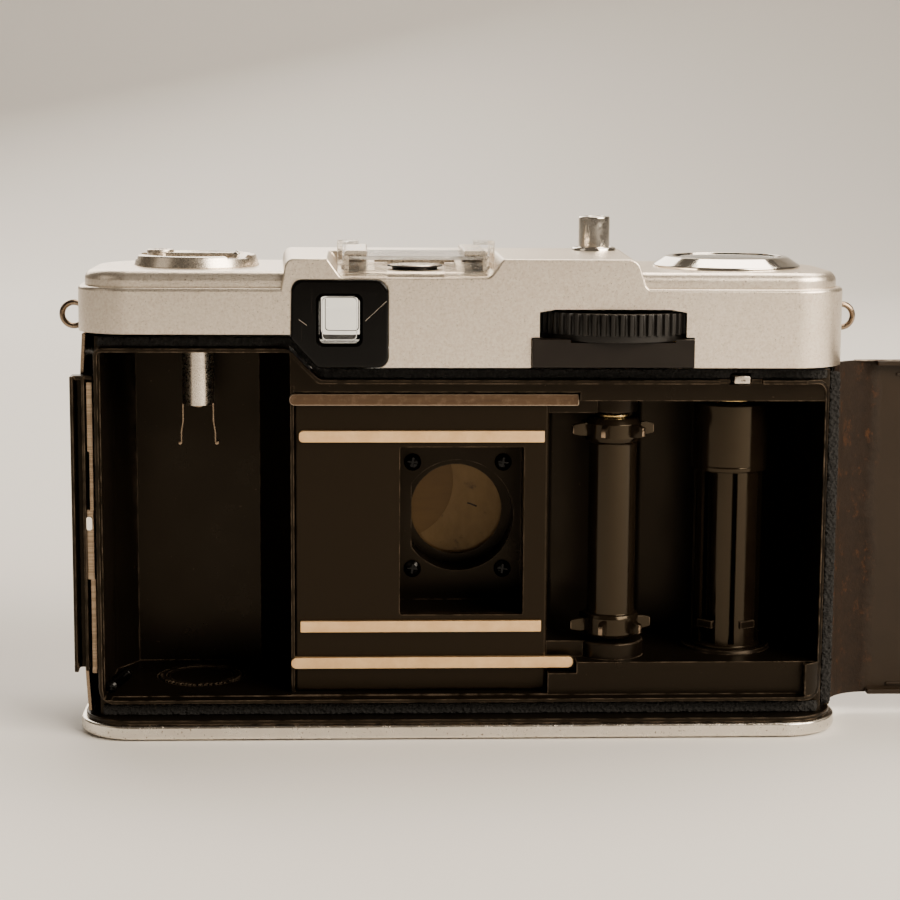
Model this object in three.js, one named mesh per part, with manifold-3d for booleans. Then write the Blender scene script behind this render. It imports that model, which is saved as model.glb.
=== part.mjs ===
// Half frame 35 mm camera with its hinged back open, as an assembly of separate pieces.
// Millimetres, +Z up, +X to the right and +Y forward (the way the lens points).
// The origin lies on the face the camera stands on, under the lens axis, in the film plane.
import * as THREE from 'three';
import { ConvexGeometry } from 'three/addons/geometries/ConvexGeometry.js';
import { mergeVertices } from 'three/addons/utils/BufferGeometryUtils.js';
import Module from 'manifold-3d';

const wasm = await Module();
wasm.setup();

// ---------------------------------------------------------------- driving dimensions
const GAP = 0.1;
const FAR = 200;
const SMALLEST = 0.004;
const SEGMENTS = 24;
const CORNER_SEGMENTS = 5;

// The film: height of its centre, the half frame gate, and the two rows of perforations.
const FILM = { z: 28.4, gateWidth: 17.4, gateHeight: 23.9, rowSpacing: 28.17 };

// Outside of the body in plan, shared by the cover, the base, the shell and the casting.
const BODY = { half: 53.2, rear: -4.7, front: 25, rearRadius: 7.5, frontRadius: 13 };

// Levels above the base.
const LEVEL = {
  baseTop: 2.0,
  shellBottom: 2.1,
  rearEdge: 52.1,
  leftEdge: 56.6,
  ledge: 62.9,
  deck: 64.9,
  hump: 66.9,
  shoeFloor: 64.3,
};
const COVER_WALL = 1.0;
const COVER_INSIDE_TOP = 62.2;
const HUMP = { left: -24.2, right: 23.8, leftFoot: -24.8, rightFoot: 25.6, rear: -4.3, front: 24.2 };

// The rim round the film compartment, and the step in it under the viewfinder.
const RIM = { left: -50.1, right: 50.6, bottom: 5.2, top: 49.7, leftTop: 54.0, wall: 0.5, rear: -3.4 };
const STEP = { high: -24.3, low: -20.0 };
const CASTING = { half: 52.2, left: -50.6, right: 51.2, rear: -1.2, front: 23.8, top: 51.6, leftTop: 56.0 };

const CASSETTE = { left: -50.0, right: -23.95, front: 19.8, leftRadius: 4.7, rightRadius: 5.0, floor: 5.3 };
const TAKEUP = { left: 12.2, bottom: 9.9, top: 47.1, shallow: 16, deep: 20, split: 26 };
const TUNNEL = { floor: 13.5, hole: 8.2 };
const SHUTTER = { rear: 18.9, radius: 17.5, opening: 6.8 };

const GATE = { left: -23.4, right: 12.1, bottom: 5.5, top: 48.2, face: 0.6, back: 2.1 };
const RAIL = { width: 1.65, outerInside: 35.8, innerInside: 25.4, outerFace: -0.2, innerFace: 0 };

const TONGUE = { right: 16.2, bottom: 8.4 };
const RESET = { left: 37.4, right: 39.6, low: 49.75, high: 50.8 };

const WIND = { x: 21.6, y: 4.6 };
const SPOOL = { x: 39.0, y: 9.2, radius: 4.9, collar: 5.5 };
const REWIND = { x: -37.4, y: 10.6, shaft: 2.25, lowest: 45.1 };
const GEAR = { module: 0.9, driveTeeth: 16, spoolTeeth: 24, bottom: 53.0, top: 55.6 };
const HINGE = { x: 52.8, y: 2.5, pin: 0.38, knuckle: 0.75 };

// The back door when it is shut, and the centre of the bend that takes it round the corner to its hinge.
const DOOR = { left: -51.2, right: 53.2, outside: -4.5, inside: -3.75, bottom: 2.8, top: 51.8, leftTop: 56.3, bend: 7.5 };
const DOOR_CORNER = { x: DOOR.right - DOOR.bend, y: DOOR.outside + DOOR.bend };
const SHOE = { x: -6.7, half: 9.8, rear: -2.4, front: 15 };
const BUTTON = { x: 20.0, y: 19.0, radius: 2.3 };
const COUNTER = { x: 38.1, y: 10.0, radius: 10.45 };

// ---------------------------------------------------------------- finishes
function finish(colour, roughness, metalness) {
  return new THREE.MeshStandardMaterial({ color: colour, roughness, metalness });
}
const SATIN = finish('#c9bfb2', 0.38, 1);
const CHROME = finish('#dcd8d2', 0.12, 1);
const STEEL = finish('#b7aa97', 0.35, 1);
const BRASS = finish('#b98a3e', 0.35, 1);
const BRONZE = finish('#6a4a26', 0.45, 0.8);
const BLACK_PAINT = finish('#15110e', 0.45, 0.2);
const BLACK_GLOSS = finish('#0a0908', 0.15, 0);
const BLACK_MATTE = finish('#161412', 0.7, 0);
const LEATHER = finish('#24211f', 0.75, 0);
const FOAM = finish('#0f0e0d', 0.95, 0);
const GLASS = finish('#dfe8ee', 0.03, 0);
const CELL = finish('#3b2a44', 0.3, 0.4);
const DIAL = finish('#20211f', 0.6, 0);

// ---------------------------------------------------------------- solids
function solidOf(geometry) {
  const bare = geometry.clone();
  bare.deleteAttribute('normal');
  bare.deleteAttribute('uv');
  const merged = mergeVertices(bare, 1e-4);
  return new wasm.Manifold(new wasm.Mesh({
    numProp: 3,
    vertProperties: new Float32Array(merged.attributes.position.array),
    triVerts: new Uint32Array(merged.index.array),
  }));
}

function geometryOf(solid) {
  const mesh = solid.simplify(SMALLEST).getMesh();
  const geometry = new THREE.BufferGeometry();
  geometry.setAttribute('position', new THREE.BufferAttribute(new Float32Array(mesh.vertProperties), 3));
  geometry.setIndex(new THREE.BufferAttribute(new Uint32Array(mesh.triVerts), 1));
  geometry.computeVertexNormals();
  return geometry;
}

function box(x0, x1, y0, y1, z0, z1) {
  const geometry = new THREE.BoxGeometry(x1 - x0, y1 - y0, z1 - z0);
  return solidOf(geometry.translate((x0 + x1) / 2, (y0 + y1) / 2, (z0 + z1) / 2));
}

// A shape drawn in X and Y, raised from z0 to z1. A bevel rounds its upper and lower edges.
function upright(shape, z0, z1, bevel = 0) {
  const geometry = new THREE.ExtrudeGeometry(shape, {
    depth: z1 - z0 - 2 * bevel,
    bevelEnabled: bevel > 0,
    bevelThickness: bevel,
    bevelSize: bevel,
    bevelOffset: -bevel,
    bevelSegments: 2,
    curveSegments: CORNER_SEGMENTS,
  });
  return solidOf(geometry.translate(0, 0, z0 + bevel));
}

// A shape drawn in X and Z, run forward from y0 to y1.
function forward(shape, y0, y1, curveSegments = CORNER_SEGMENTS) {
  const geometry = new THREE.ExtrudeGeometry(shape, { depth: y1 - y0, bevelEnabled: false, curveSegments });
  return solidOf(geometry.rotateX(Math.PI / 2).translate(0, y1, 0));
}

function polygon(points) {
  return new THREE.Shape(points.map(([x, y]) => new THREE.Vector2(x, y)));
}

function polar(radius, angle) {
  return [radius * Math.cos(angle), radius * Math.sin(angle)];
}

function post(x, y, radius, z0, z1, segments = SEGMENTS) {
  const geometry = new THREE.CylinderGeometry(radius, radius, z1 - z0, segments);
  return solidOf(geometry.rotateX(Math.PI / 2).translate(x, y, (z0 + z1) / 2));
}

function peg(x, z, radius, y0, y1, segments = SEGMENTS) {
  const geometry = new THREE.CylinderGeometry(radius, radius, y1 - y0, segments);
  return solidOf(geometry.translate(x, (y0 + y1) / 2, z));
}

// A profile of [radius, height] points turned about the vertical axis.
function turnedUpright(profile, segments = SEGMENTS) {
  return turnedForward(profile, segments).rotateX(Math.PI / 2);
}

// A profile of [radius, distance forward] points turned about the lens axis.
function turnedForward(profile, segments = SEGMENTS) {
  const points = profile.map(([radius, height]) => new THREE.Vector2(radius, height));
  return new THREE.LatheGeometry(points, segments);
}

function tube(inner, outer, low, high) {
  return [[inner, low], [outer, low], [outer, high], [inner, high], [inner, low]];
}

// The body outline in plan, shrunk by inset all round.
function outline(inset = 0, base = BODY) {
  const { half, rear, front, rearRadius, frontRadius } = base;
  const side = half - inset;
  const back = rear + inset;
  const face = front - inset;
  const r = rearRadius - inset;
  const f = frontRadius - inset;
  const shape = new THREE.Shape();
  shape.moveTo(-side + r, back);
  shape.lineTo(side - r, back);
  shape.absarc(side - r, back + r, r, -Math.PI / 2, 0, false);
  shape.lineTo(side, face - f);
  shape.absarc(side - f, face - f, f, 0, Math.PI / 2, false);
  shape.lineTo(-side + f, face);
  shape.absarc(-side + f, face - f, f, Math.PI / 2, Math.PI, false);
  shape.lineTo(-side, back + r);
  shape.absarc(-side + r, back + r, r, Math.PI, 1.5 * Math.PI, false);
  return shape;
}

// The outline of the film compartment in X and Z, with its step, grown by margin.
function compartment(margin) {
  const slant = margin * 0.41;
  return polygon([
    [RIM.left - margin, RIM.bottom - margin],
    [RIM.right + margin, RIM.bottom - margin],
    [RIM.right + margin, RIM.top + margin],
    [STEP.low + slant, RIM.top + margin],
    [STEP.high + slant, RIM.leftTop + margin],
    [RIM.left - margin, RIM.leftTop + margin],
  ]);
}

// ---------------------------------------------------------------- the scene
const camera = new THREE.Group();

function add(name, shape, material, parent = camera) {
  const geometry = shape.isBufferGeometry ? shape : geometryOf(shape);
  const mesh = new THREE.Mesh(geometry, material);
  mesh.name = name;
  parent.add(mesh);
  return mesh;
}

function groupAt(x, y, z) {
  const group = new THREE.Group();
  group.position.set(x, y, z);
  camera.add(group);
  return group;
}

// ---------------------------------------------------------------- body casting
function cassetteChamber() {
  const { left, right, front, leftRadius, rightRadius, floor } = CASSETTE;
  const plan = new THREE.Shape();
  plan.moveTo(left, -FAR);
  plan.lineTo(right, -FAR);
  plan.lineTo(right, front - rightRadius);
  plan.absarc(right - rightRadius, front - rightRadius, rightRadius, 0, Math.PI / 2, false);
  plan.lineTo(left + leftRadius, front);
  plan.absarc(left + leftRadius, front - leftRadius, leftRadius, Math.PI / 2, Math.PI, false);
  return upright(plan, floor, RIM.leftTop - 0.05).add(post(REWIND.x, REWIND.y, 6.2, floor - 0.6, floor + 1));
}

function takeupChamber() {
  const { left, bottom, top, shallow, deep, split } = TAKEUP;
  const inside = upright(outline(1.6, { ...BODY, half: CASTING.half, rear: -20, front: deep + 1.6 }), bottom, top);
  const near = box(left, split + 1, -FAR, shallow, bottom, top);
  const wide = box(split, RIM.right, -FAR, deep, bottom, top).intersect(inside);
  return near.add(wide);
}

// A boss round the sprocket's shaft that runs into the wall beside the gate.
function shaftBoss(radius, low, high) {
  return box(TAKEUP.left - 0.5, WIND.x, GATE.back + 0.2, WIND.y + radius, low, high)
    .add(post(WIND.x, WIND.y, radius, low, high, 32));
}

// Everything at the right hand corner that would stand in the way of the closing door.
function doorSweep() {
  const room = DOOR.bend - (DOOR.inside - DOOR.outside) - 0.12;
  return box(DOOR_CORNER.x, FAR, -FAR, DOOR_CORNER.y, 2.7, DOOR.top + 0.2)
    .subtract(post(DOOR_CORNER.x, DOOR_CORNER.y, room, 0, FAR, 64));
}

function bodyCasting() {
  const plan = { half: CASTING.half, rear: CASTING.rear, front: CASTING.front, rearRadius: 2.5, frontRadius: 12 };
  const block = upright(outline(0, plan), LEVEL.shellBottom, CASTING.top);
  const raised = upright(outline(0, plan), CASTING.top - 1, CASTING.leftTop)
    .subtract(box(STEP.high + 0.3, FAR, -FAR, FAR, 0, FAR));
  const ledge = upright(outline(0.8), LEVEL.shellBottom, 2.65).subtract(box(-FAR, FAR, 15, FAR, 0, FAR));
  const rim = forward(compartment(RIM.wall), RIM.rear, 6);
  const gateHalf = FILM.gateWidth / 2 + 0.6;
  const gateTall = FILM.gateHeight / 2 + 0.6;
  return block.add(raised).add(ledge).add(rim)
    .subtract(doorSweep())
    .subtract(box(-FAR, CASTING.left, -FAR, FAR, 2.65, FAR))
    .subtract(box(CASTING.right, FAR, -FAR, HINGE.y + 1.5, 2.65, FAR))
    .subtract(forward(compartment(0), -FAR, CASTING.rear))
    .subtract(cassetteChamber())
    .subtract(takeupChamber())
    .add(shaftBoss(3.4, 45.0, TAKEUP.top + 0.5))
    .add(shaftBoss(4.7, TAKEUP.bottom - 0.5, 12.2))
    .subtract(box(GATE.left - 0.1, GATE.right + 0.1, -FAR, GATE.back + GAP, GATE.bottom - 0.1, GATE.top + 0.1))
    .subtract(box(GATE.right, TONGUE.right + GAP, -FAR, GATE.back + GAP, TONGUE.bottom - GAP, TAKEUP.bottom))
    .subtract(box(GATE.right, TONGUE.right + GAP, -FAR, GATE.back + GAP, TAKEUP.top, GATE.top + GAP))
    .subtract(box(-gateHalf, gateHalf, 0, TUNNEL.floor, FILM.z - gateTall, FILM.z + gateTall))
    .subtract(peg(0, FILM.z, TUNNEL.hole, TUNNEL.floor - 1, SHUTTER.rear + 1))
    .subtract(peg(0, FILM.z, SHUTTER.radius, SHUTTER.rear, FAR, 28))
    .subtract(post(REWIND.x, REWIND.y, REWIND.shaft + 0.35, 50, FAR, 20))
    .subtract(post(WIND.x, WIND.y, 1.8, 40, FAR, 20))
    .subtract(post(SPOOL.x, SPOOL.y, 1.8, 40, FAR, 20))
    .subtract(box(RESET.left - 0.2, RESET.right + 0.2, -FAR, 4.2, RESET.low - 0.2, RESET.high + 0.2));
}
add('body_casting', bodyCasting(), BLACK_PAINT);

// ---------------------------------------------------------------- film gate and rails
function rail(left, right, low, face) {
  return box(left, right, face, GATE.face + 0.2, low, low + RAIL.width);
}

function filmGate() {
  const plate = box(GATE.left, GATE.right, GATE.face, GATE.back, GATE.bottom, GATE.top);
  const halfW = FILM.gateWidth / 2;
  const halfH = FILM.gateHeight / 2;
  const tongues = box(GATE.right - 1, TONGUE.right, GATE.face, GATE.back, TAKEUP.top + GAP, GATE.top)
    .add(box(GATE.right - 1, TONGUE.right, GATE.face, GATE.back, TONGUE.bottom, TAKEUP.bottom - GAP));
  const outer = RAIL.outerInside / 2;
  const inner = RAIL.innerInside / 2;
  return plate
    .add(tongues)
    .add(rail(-23.3, 16.1, FILM.z + outer, RAIL.outerFace))
    .add(rail(-23.3, 16.1, FILM.z - outer - RAIL.width, RAIL.outerFace))
    .add(rail(-22.8, 11.6, FILM.z + inner, RAIL.innerFace))
    .add(rail(-22.8, 11.6, FILM.z - inner - RAIL.width, RAIL.innerFace))
    .subtract(box(-halfW, halfW, -FAR, FAR, FILM.z - halfH, FILM.z + halfH));
}
add('film_gate', filmGate(), BLACK_PAINT);

// Four cross-head screws hold the shutter to the floor of the light tunnel.
const SCREW = { dx: 6.6, dz: 7.9, radius: 1.15, height: 0.7, slot: 0.3 };
for (const [side, sx] of [['left', -1], ['right', 1]]) {
  for (const [row, sz] of [['upper', 1], ['lower', -1]]) {
    const head = peg(0, 0, SCREW.radius, -SCREW.height, -GAP, 16)
      .subtract(box(-0.75, 0.75, -FAR, -0.45, -SCREW.slot / 2, SCREW.slot / 2))
      .subtract(box(-SCREW.slot / 2, SCREW.slot / 2, -FAR, -0.45, -0.75, 0.75));
    const screw = add(`gate_screw_${row}_${side}`, head, BLACK_GLOSS);
    screw.position.set(sx * SCREW.dx, TUNNEL.floor, FILM.z + sz * SCREW.dz);
  }
}

// ---------------------------------------------------------------- lens and shutter
const lens = groupAt(0, 0, FILM.z);
const BLADE = { reach: 7.5, pivotDrop: 13, edgeX: -9.3, edgeZ: 4.1, edgeRadius: 8.9, overlap: 1.0, thick: 0.2 };

function bladeArm(y0, y1) {
  const eye = peg(0, -BLADE.pivotDrop, 1.6, y0, y1, 20);
  return eye.add(box(-1.2, 1.2, y0, y1, -BLADE.pivotDrop, -BLADE.reach + 1.6))
    .subtract(peg(0, -BLADE.pivotDrop, 0.7, -FAR, FAR, 16));
}

function leftBlade() {
  const y0 = SHUTTER.rear + 1.0;
  const y1 = y0 + BLADE.thick;
  const leaf = peg(BLADE.edgeX, BLADE.edgeZ, BLADE.edgeRadius, y0, y1, 40)
    .intersect(peg(0, 0, BLADE.reach, y0, y1, 40));
  const link = peg(0, 0, BLADE.reach + 0.9, y0, y1, 40)
    .subtract(peg(0, 0, BLADE.reach - 0.5, -FAR, FAR, 40))
    .intersect(box(-FAR, 0.5, y0, y1, -FAR, -1));
  return leaf.add(link).add(bladeArm(y0, y1));
}

function rightBlade() {
  const y0 = SHUTTER.rear + 1.4;
  const y1 = y0 + BLADE.thick;
  return peg(0, 0, BLADE.reach, y0, y1, 28)
    .subtract(peg(BLADE.edgeX, BLADE.edgeZ, BLADE.edgeRadius - BLADE.overlap, -FAR, FAR, 28))
    .add(bladeArm(y0, y1));
}

add('shutter_plate', turnedForward(tube(SHUTTER.opening, 17.2, 19.0, 19.6), 28), BLACK_MATTE, lens);
add('shutter_blade_left', leftBlade(), BRONZE, lens);
add('shutter_blade_right', rightBlade(), BRONZE, lens);
add('shutter_housing', turnedForward([
  [7.4, 20.9], [17.0, 20.9], [17.0, 24.9], [16.0, 24.9], [16.0, 22.4], [7.4, 22.4], [7.4, 20.9],
], 28), BLACK_MATTE, lens);
add('lens_barrel', turnedForward([
  [6.3, 26.5], [7.3, 26.5], [7.3, 29.5], [18.0, 29.5], [18.0, 25.2], [20.5, 25.2],
  [20.5, 31.5], [7.3, 31.5], [7.3, 38.2], [6.3, 38.2], [6.3, 26.5],
], 28), BLACK_MATTE, lens);
add('lens_rear_element', turnedForward([[0, 26.8], [4, 27.0], [6.1, 27.6], [6.1, 28.6], [0, 28.6]], 32), GLASS, lens);
add('lens_front_element', turnedForward([[0, 35.4], [6.1, 35.4], [6.1, 36.4], [4, 37.2], [0, 37.5]], 32), GLASS, lens);
add('selenium_cell', turnedForward(tube(7.9, 17.2, 33.6, 34.4), 28), CELL, lens);
add('cell_window', turnedForward(tube(7.6, 17.3, 35.6, 37.2), 28), GLASS, lens);
add('lens_bezel', turnedForward([
  [17.5, 31.8], [20.4, 31.8], [20.4, 36.4], [19.0, 38.4], [17.5, 38.4], [17.5, 31.8],
], 32), SATIN, lens);

// A knurled ring: its outside alternates between two radii.
function knurledRing(inner, outer, depth, ribs, y0, y1) {
  const points = [];
  for (let i = 0; i < 2 * ribs; i += 1) {
    points.push(polar(i % 2 ? outer : outer - depth, (Math.PI * i) / ribs));
  }
  const shape = polygon(points);
  const hole = new THREE.Path();
  hole.absarc(0, 0, inner, 0, 2 * Math.PI, true);
  shape.holes.push(hole);
  return forward(shape, y0, y1, 20);
}
add('focus_ring', knurledRing(20.7, 22.4, 0.4, 36, 26.0, 28.5), BLACK_MATTE, lens);
add('aperture_ring', knurledRing(20.7, 21.9, 0.3, 36, 28.9, 31.3), SATIN, lens);

// ---------------------------------------------------------------- front shell and covering
function band(outerInset, innerInset, z0, z1) {
  return upright(outline(outerInset), z0, z1).subtract(upright(outline(innerInset), 0, FAR));
}

function frontShell() {
  return band(0, 0.8, LEVEL.shellBottom, 51.8)
    .subtract(box(-FAR, FAR, -FAR, 6.5, -FAR, FAR))
    .subtract(box(-FAR, 0, -FAR, 9.7, -FAR, FAR))
    .subtract(peg(0, FILM.z, 17.4, 0, FAR, 28));
}
add('front_shell', frontShell(), BLACK_PAINT);

function frontLeatherette() {
  return band(-0.5, -0.1, 3.2, 51.2)
    .subtract(box(-FAR, FAR, -FAR, 8.0, -FAR, FAR))
    .subtract(box(-FAR, 0, -FAR, 10.5, -FAR, FAR))
    .subtract(peg(0, FILM.z, 23.2, 0, FAR, 28));
}
add('front_leatherette', frontLeatherette(), LEATHER);

// ---------------------------------------------------------------- top cover
const BEZEL = { left: -23.3, right: -10.4, bottom: 52.2, top: 64.0, cutX: -20.2, cutZ: 57.4 };
const EYEPIECE = { left: -19.8, right: -14.35, bottom: 55.4, top: 61.8 };
const WINDOW = { left: 10.2, right: 30.4, bottom: 56.2, top: 60.1, cutX: 2.6, cutZ: 0.6 };
const FINDER_FRONT = { left: -22.2, right: -11.6, bottom: 52.9, top: 62.0 };

function bezelOutline(margin) {
  return polygon([
    [BEZEL.cutX - margin / 2, BEZEL.bottom - margin],
    [BEZEL.right + margin, BEZEL.bottom - margin],
    [BEZEL.right + margin, BEZEL.top + margin],
    [BEZEL.left - margin, BEZEL.top + margin],
    [BEZEL.left - margin, BEZEL.cutZ],
  ]);
}

function wheelWindow() {
  const { left, right, bottom, top, cutX, cutZ } = WINDOW;
  return polygon([
    [left, bottom], [right, bottom], [right, top - cutZ],
    [right - cutX, top], [left + cutX, top], [left, top - cutZ],
  ]);
}

function topCover() {
  const skirt = upright(outline(0), LEVEL.rearEdge, LEVEL.ledge + 0.3, 0.3);
  const deck = upright(outline(0.7), LEVEL.ledge - 2, LEVEL.deck, 0.7);
  const hump = forward(polygon([
    [HUMP.leftFoot, 60], [HUMP.rightFoot, 60], [HUMP.rightFoot, LEVEL.deck - 0.5], [HUMP.right, LEVEL.hump - 0.3],
    [HUMP.right - 0.6, LEVEL.hump], [HUMP.left + 0.8, LEVEL.hump], [HUMP.left, LEVEL.hump - 0.7],
  ]), HUMP.rear, HUMP.front);
  const notch = forward(polygon([
    [-55, 50], [STEP.low + 0.6, 50], [STEP.low + 0.6, LEVEL.rearEdge],
    [STEP.high + 0.6, LEVEL.leftEdge], [-55, LEVEL.leftEdge],
  ]), -FAR, 9.4);
  const shoeHalf = SHOE.half + 1.3;
  const rearWall = BODY.rear + 1.1;
  return skirt.add(deck).add(hump)
    .subtract(upright(outline(COVER_WALL), 0, COVER_INSIDE_TOP))
    .subtract(notch)
    .subtract(box(SHOE.x - shoeHalf, SHOE.x + shoeHalf, -FAR, SHOE.front + 0.6, LEVEL.shoeFloor, FAR))
    .subtract(forward(bezelOutline(GAP), -FAR, rearWall))
    .subtract(forward(wheelWindow(), -FAR, rearWall))
    .subtract(box(9.0, 31.6, -FAR, rearWall, 50, WINDOW.bottom + 0.1))
    .subtract(box(FINDER_FRONT.left - 0.3, FINDER_FRONT.right + 0.3, 23, FAR, FINDER_FRONT.bottom, 62.1))
    .subtract(post(REWIND.x, REWIND.y, REWIND.shaft + 0.35, 60, FAR, 24))
    .subtract(post(COUNTER.x, COUNTER.y, 8.5, 60, FAR))
    .subtract(post(BUTTON.x, BUTTON.y, 2.6, 60, FAR, 24));
}
add('top_cover', topCover(), SATIN);

// ---------------------------------------------------------------- viewfinder
function rectangleCorners({ left, right, bottom, top }, y) {
  return [left, right].flatMap((x) => [bottom, top].map((z) => new THREE.Vector3(x, y, z)));
}

function flare(rear, rearY, front, frontY) {
  return solidOf(new ConvexGeometry([...rectangleCorners(rear, rearY), ...rectangleCorners(front, frontY)]));
}

function grown({ left, right, bottom, top }, wall) {
  return { left: left - wall, right: right + wall, bottom: bottom - wall, top: top + wall };
}

const FINDER_INSIDE = { left: -21.4, right: -12.4, bottom: 53.2, top: 61.4 };

function viewfinderBezel() {
  return forward(bezelOutline(0), -5.1, -3.7)
    .add(flare(grown(EYEPIECE, 0.3), -3.8, grown(FINDER_INSIDE, 0.4), 22.4))
    .subtract(flare(EYEPIECE, -5.3, FINDER_INSIDE, 22.6));
}
add('viewfinder_bezel', viewfinderBezel(), BLACK_GLOSS);
add('eyepiece_glass', box(-19.5, -14.7, -2.6, -1.8, 55.6, 61.5), GLASS);
add('finder_front_glass', box(
  FINDER_FRONT.left, FINDER_FRONT.right, 23.4, 24.4, FINDER_FRONT.bottom + 0.1, FINDER_FRONT.top,
), GLASS);

// ---------------------------------------------------------------- accessory shoe
function hotShoe() {
  const { x, half, rear, front } = SHOE;
  const left = x - half;
  const right = x + half;
  const floor = LEVEL.shoeFloor + GAP;
  return box(left, right, rear, front, floor, floor + 0.6)
    .add(box(left, left + 0.7, rear, front, floor, 67.9))
    .add(box(right - 0.7, right, rear, front, floor, 67.9))
    .add(box(left, left + 3.2, rear, front, 67.2, 67.9))
    .add(box(right - 3.2, right, rear, front, 67.2, 67.9))
    .add(box(left, right, front - 0.7, front, floor, 66.4));
}
add('hot_shoe', hotShoe(), SATIN);
const contact = turnedUpright([[0, 65.1], [2.9, 65.1], [2.9, 65.6], [3.4, 65.6], [3.4, 65.8], [0, 65.8]], 24);
add('shoe_contact', contact.translate(SHOE.x, 2.4, 0), BRASS);

// The clear cover: a rear bar joins two runners inside the shoe and two cheeks outside it.
function shoeCover() {
  const { x, half } = SHOE;
  const bar = box(x - half - 0.9, x + half + 0.9, -3.9, -2.9, 64.7, 66.9);
  const parts = [-1, 1].map((side) => {
    const span = (a, b) => [x + side * a, x + side * b].sort((p, q) => p - q);
    const cheek = box(...span(half + 0.2, half + 0.9), -3.9, 12, 64.7, 69.3);
    const tab = box(...span(half - 2.3, half + 0.9), -3.9, 12, 68.6, 69.3);
    const runner = box(...span(half - 4.4, half - 1.0), -3.2, 12, 65.3, 66.9);
    return cheek.add(tab).add(runner);
  });
  return bar.add(parts[0]).add(parts[1]);
}
add('shoe_cover', shoeCover(), GLASS);

// ---------------------------------------------------------------- strap lugs
const LUG = { x: 54.65, y: 9, z: 58.2, ring: 1.68, wire: 0.38 };
for (const [name, side] of [['strap_lug_left', -1], ['strap_lug_right', 1]]) {
  const ring = solidOf(new THREE.TorusGeometry(LUG.ring, LUG.wire, 8, 24).rotateX(Math.PI / 2));
  const clear = BODY.half + GAP - LUG.x;
  const outside = side < 0 ? box(-FAR, -clear, -5, 5, -5, 5) : box(clear, FAR, -5, 5, -5, 5);
  const foot = box(side < 0 ? -clear - 0.5 : clear, side < 0 ? -clear : clear + 0.5, -1.4, 1.4, -2.0, 2.0);
  const lug = add(name, ring.intersect(outside).add(foot), CHROME);
  lug.position.set(side * LUG.x, LUG.y, LUG.z);
}

// ---------------------------------------------------------------- winding train
function ribbedDisc(radius, depth, ribs, z0, z1) {
  const points = [];
  const step = (2 * Math.PI) / (4 * ribs);
  for (let i = 0; i < ribs; i += 1) {
    points.push(polar(radius, (4 * i) * step), polar(radius, (4 * i + 1) * step));
    points.push(polar(radius - depth, (4 * i + 1.7) * step), polar(radius - depth, (4 * i + 3.3) * step));
  }
  return upright(polygon(points), z0, z1);
}

// Half the angle that an involute tooth fills at a radius, with the backlash taken off.
function toothHalfAngle(radius, teeth, module, backlash) {
  const pitch = (teeth * module) / 2;
  const base = pitch * Math.cos(THREE.MathUtils.degToRad(20));
  const involute = (r) => {
    const pressure = Math.acos(Math.min(1, base / Math.max(r, base)));
    return Math.tan(pressure) - pressure;
  };
  return Math.PI / (2 * teeth) - backlash / (2 * pitch) + involute(pitch) - involute(radius);
}

function gear(teeth, bore, phase) {
  const { module, bottom, top } = GEAR;
  const pitch = (teeth * module) / 2;
  const root = pitch - 1.2 * module;
  const tip = pitch + 0.85 * module;
  const points = [];
  const radii = [root, pitch, tip];
  for (let i = 0; i < teeth; i += 1) {
    const middle = phase + (2 * Math.PI * i) / teeth;
    const half = radii.map((radius) => toothHalfAngle(radius, teeth, module, 0.2));
    const rising = radii.map((radius, k) => polar(radius, middle - half[k]));
    const falling = radii.map((radius, k) => polar(radius, middle + half[k])).reverse();
    points.push(...rising, ...falling);
  }
  return upright(polygon(points), bottom, top).subtract(post(0, 0, bore, 0, FAR, 20));
}

const wind = groupAt(WIND.x, WIND.y, 0);
const SHAFT_RADIUS = 1.4;
const meshAngle = Math.atan2(SPOOL.y - WIND.y, SPOOL.x - WIND.x);
add('thumb_wheel', ribbedDisc(12, 0.45, 36, 56.6, 59.6).subtract(post(0, 0, 1.6, 0, FAR, 20)), BLACK_MATTE, wind);
add('drive_gear', gear(GEAR.driveTeeth, 1.6, meshAngle), BRASS, wind);

const SPROCKET = { teeth: 6, rim: 4.0, drum: 3.4, tip: 5.9, height: 3.4, tooth: 1.5 };

function sprocket() {
  const { rim, drum, tip, height, tooth, teeth } = SPROCKET;
  const low = FILM.z - FILM.rowSpacing / 2;
  const high = FILM.z + FILM.rowSpacing / 2;
  let solid = post(0, 0, drum, low, high, 24)
    .add(post(0, 0, rim, low - height / 2, low + height / 2))
    .add(post(0, 0, rim, high - height / 2, high + height / 2))
    .add(post(0, 0, SHAFT_RADIUS, high, 61, 20));
  for (const row of [low, high]) {
    for (let i = 0; i < teeth; i += 1) {
      const spike = solidOf(new ConvexGeometry([
        [rim - 0.5, 0.8, 1.0], [rim - 0.5, -0.8, 1.0], [rim - 0.5, 0.8, -1.0], [rim - 0.5, -0.8, -1.0],
        [tip, 0.4, 0.7], [tip, -0.4, 0.7], [tip, 0.4, -0.7], [tip, -0.4, -0.7],
      ].map(([x, y, z]) => new THREE.Vector3(x, y, z * tooth / 2))));
      solid = solid.add(spike.rotate([0, 0, (360 * i) / teeth]).translate([0, 0, row]));
    }
  }
  return solid;
}
add('sprocket', sprocket(), BLACK_GLOSS, wind);

const spool = groupAt(SPOOL.x, SPOOL.y, 0);
add('spool_gear', gear(GEAR.spoolTeeth, 1.6, meshAngle + Math.PI + Math.PI / GEAR.spoolTeeth), BRASS, spool);

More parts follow.
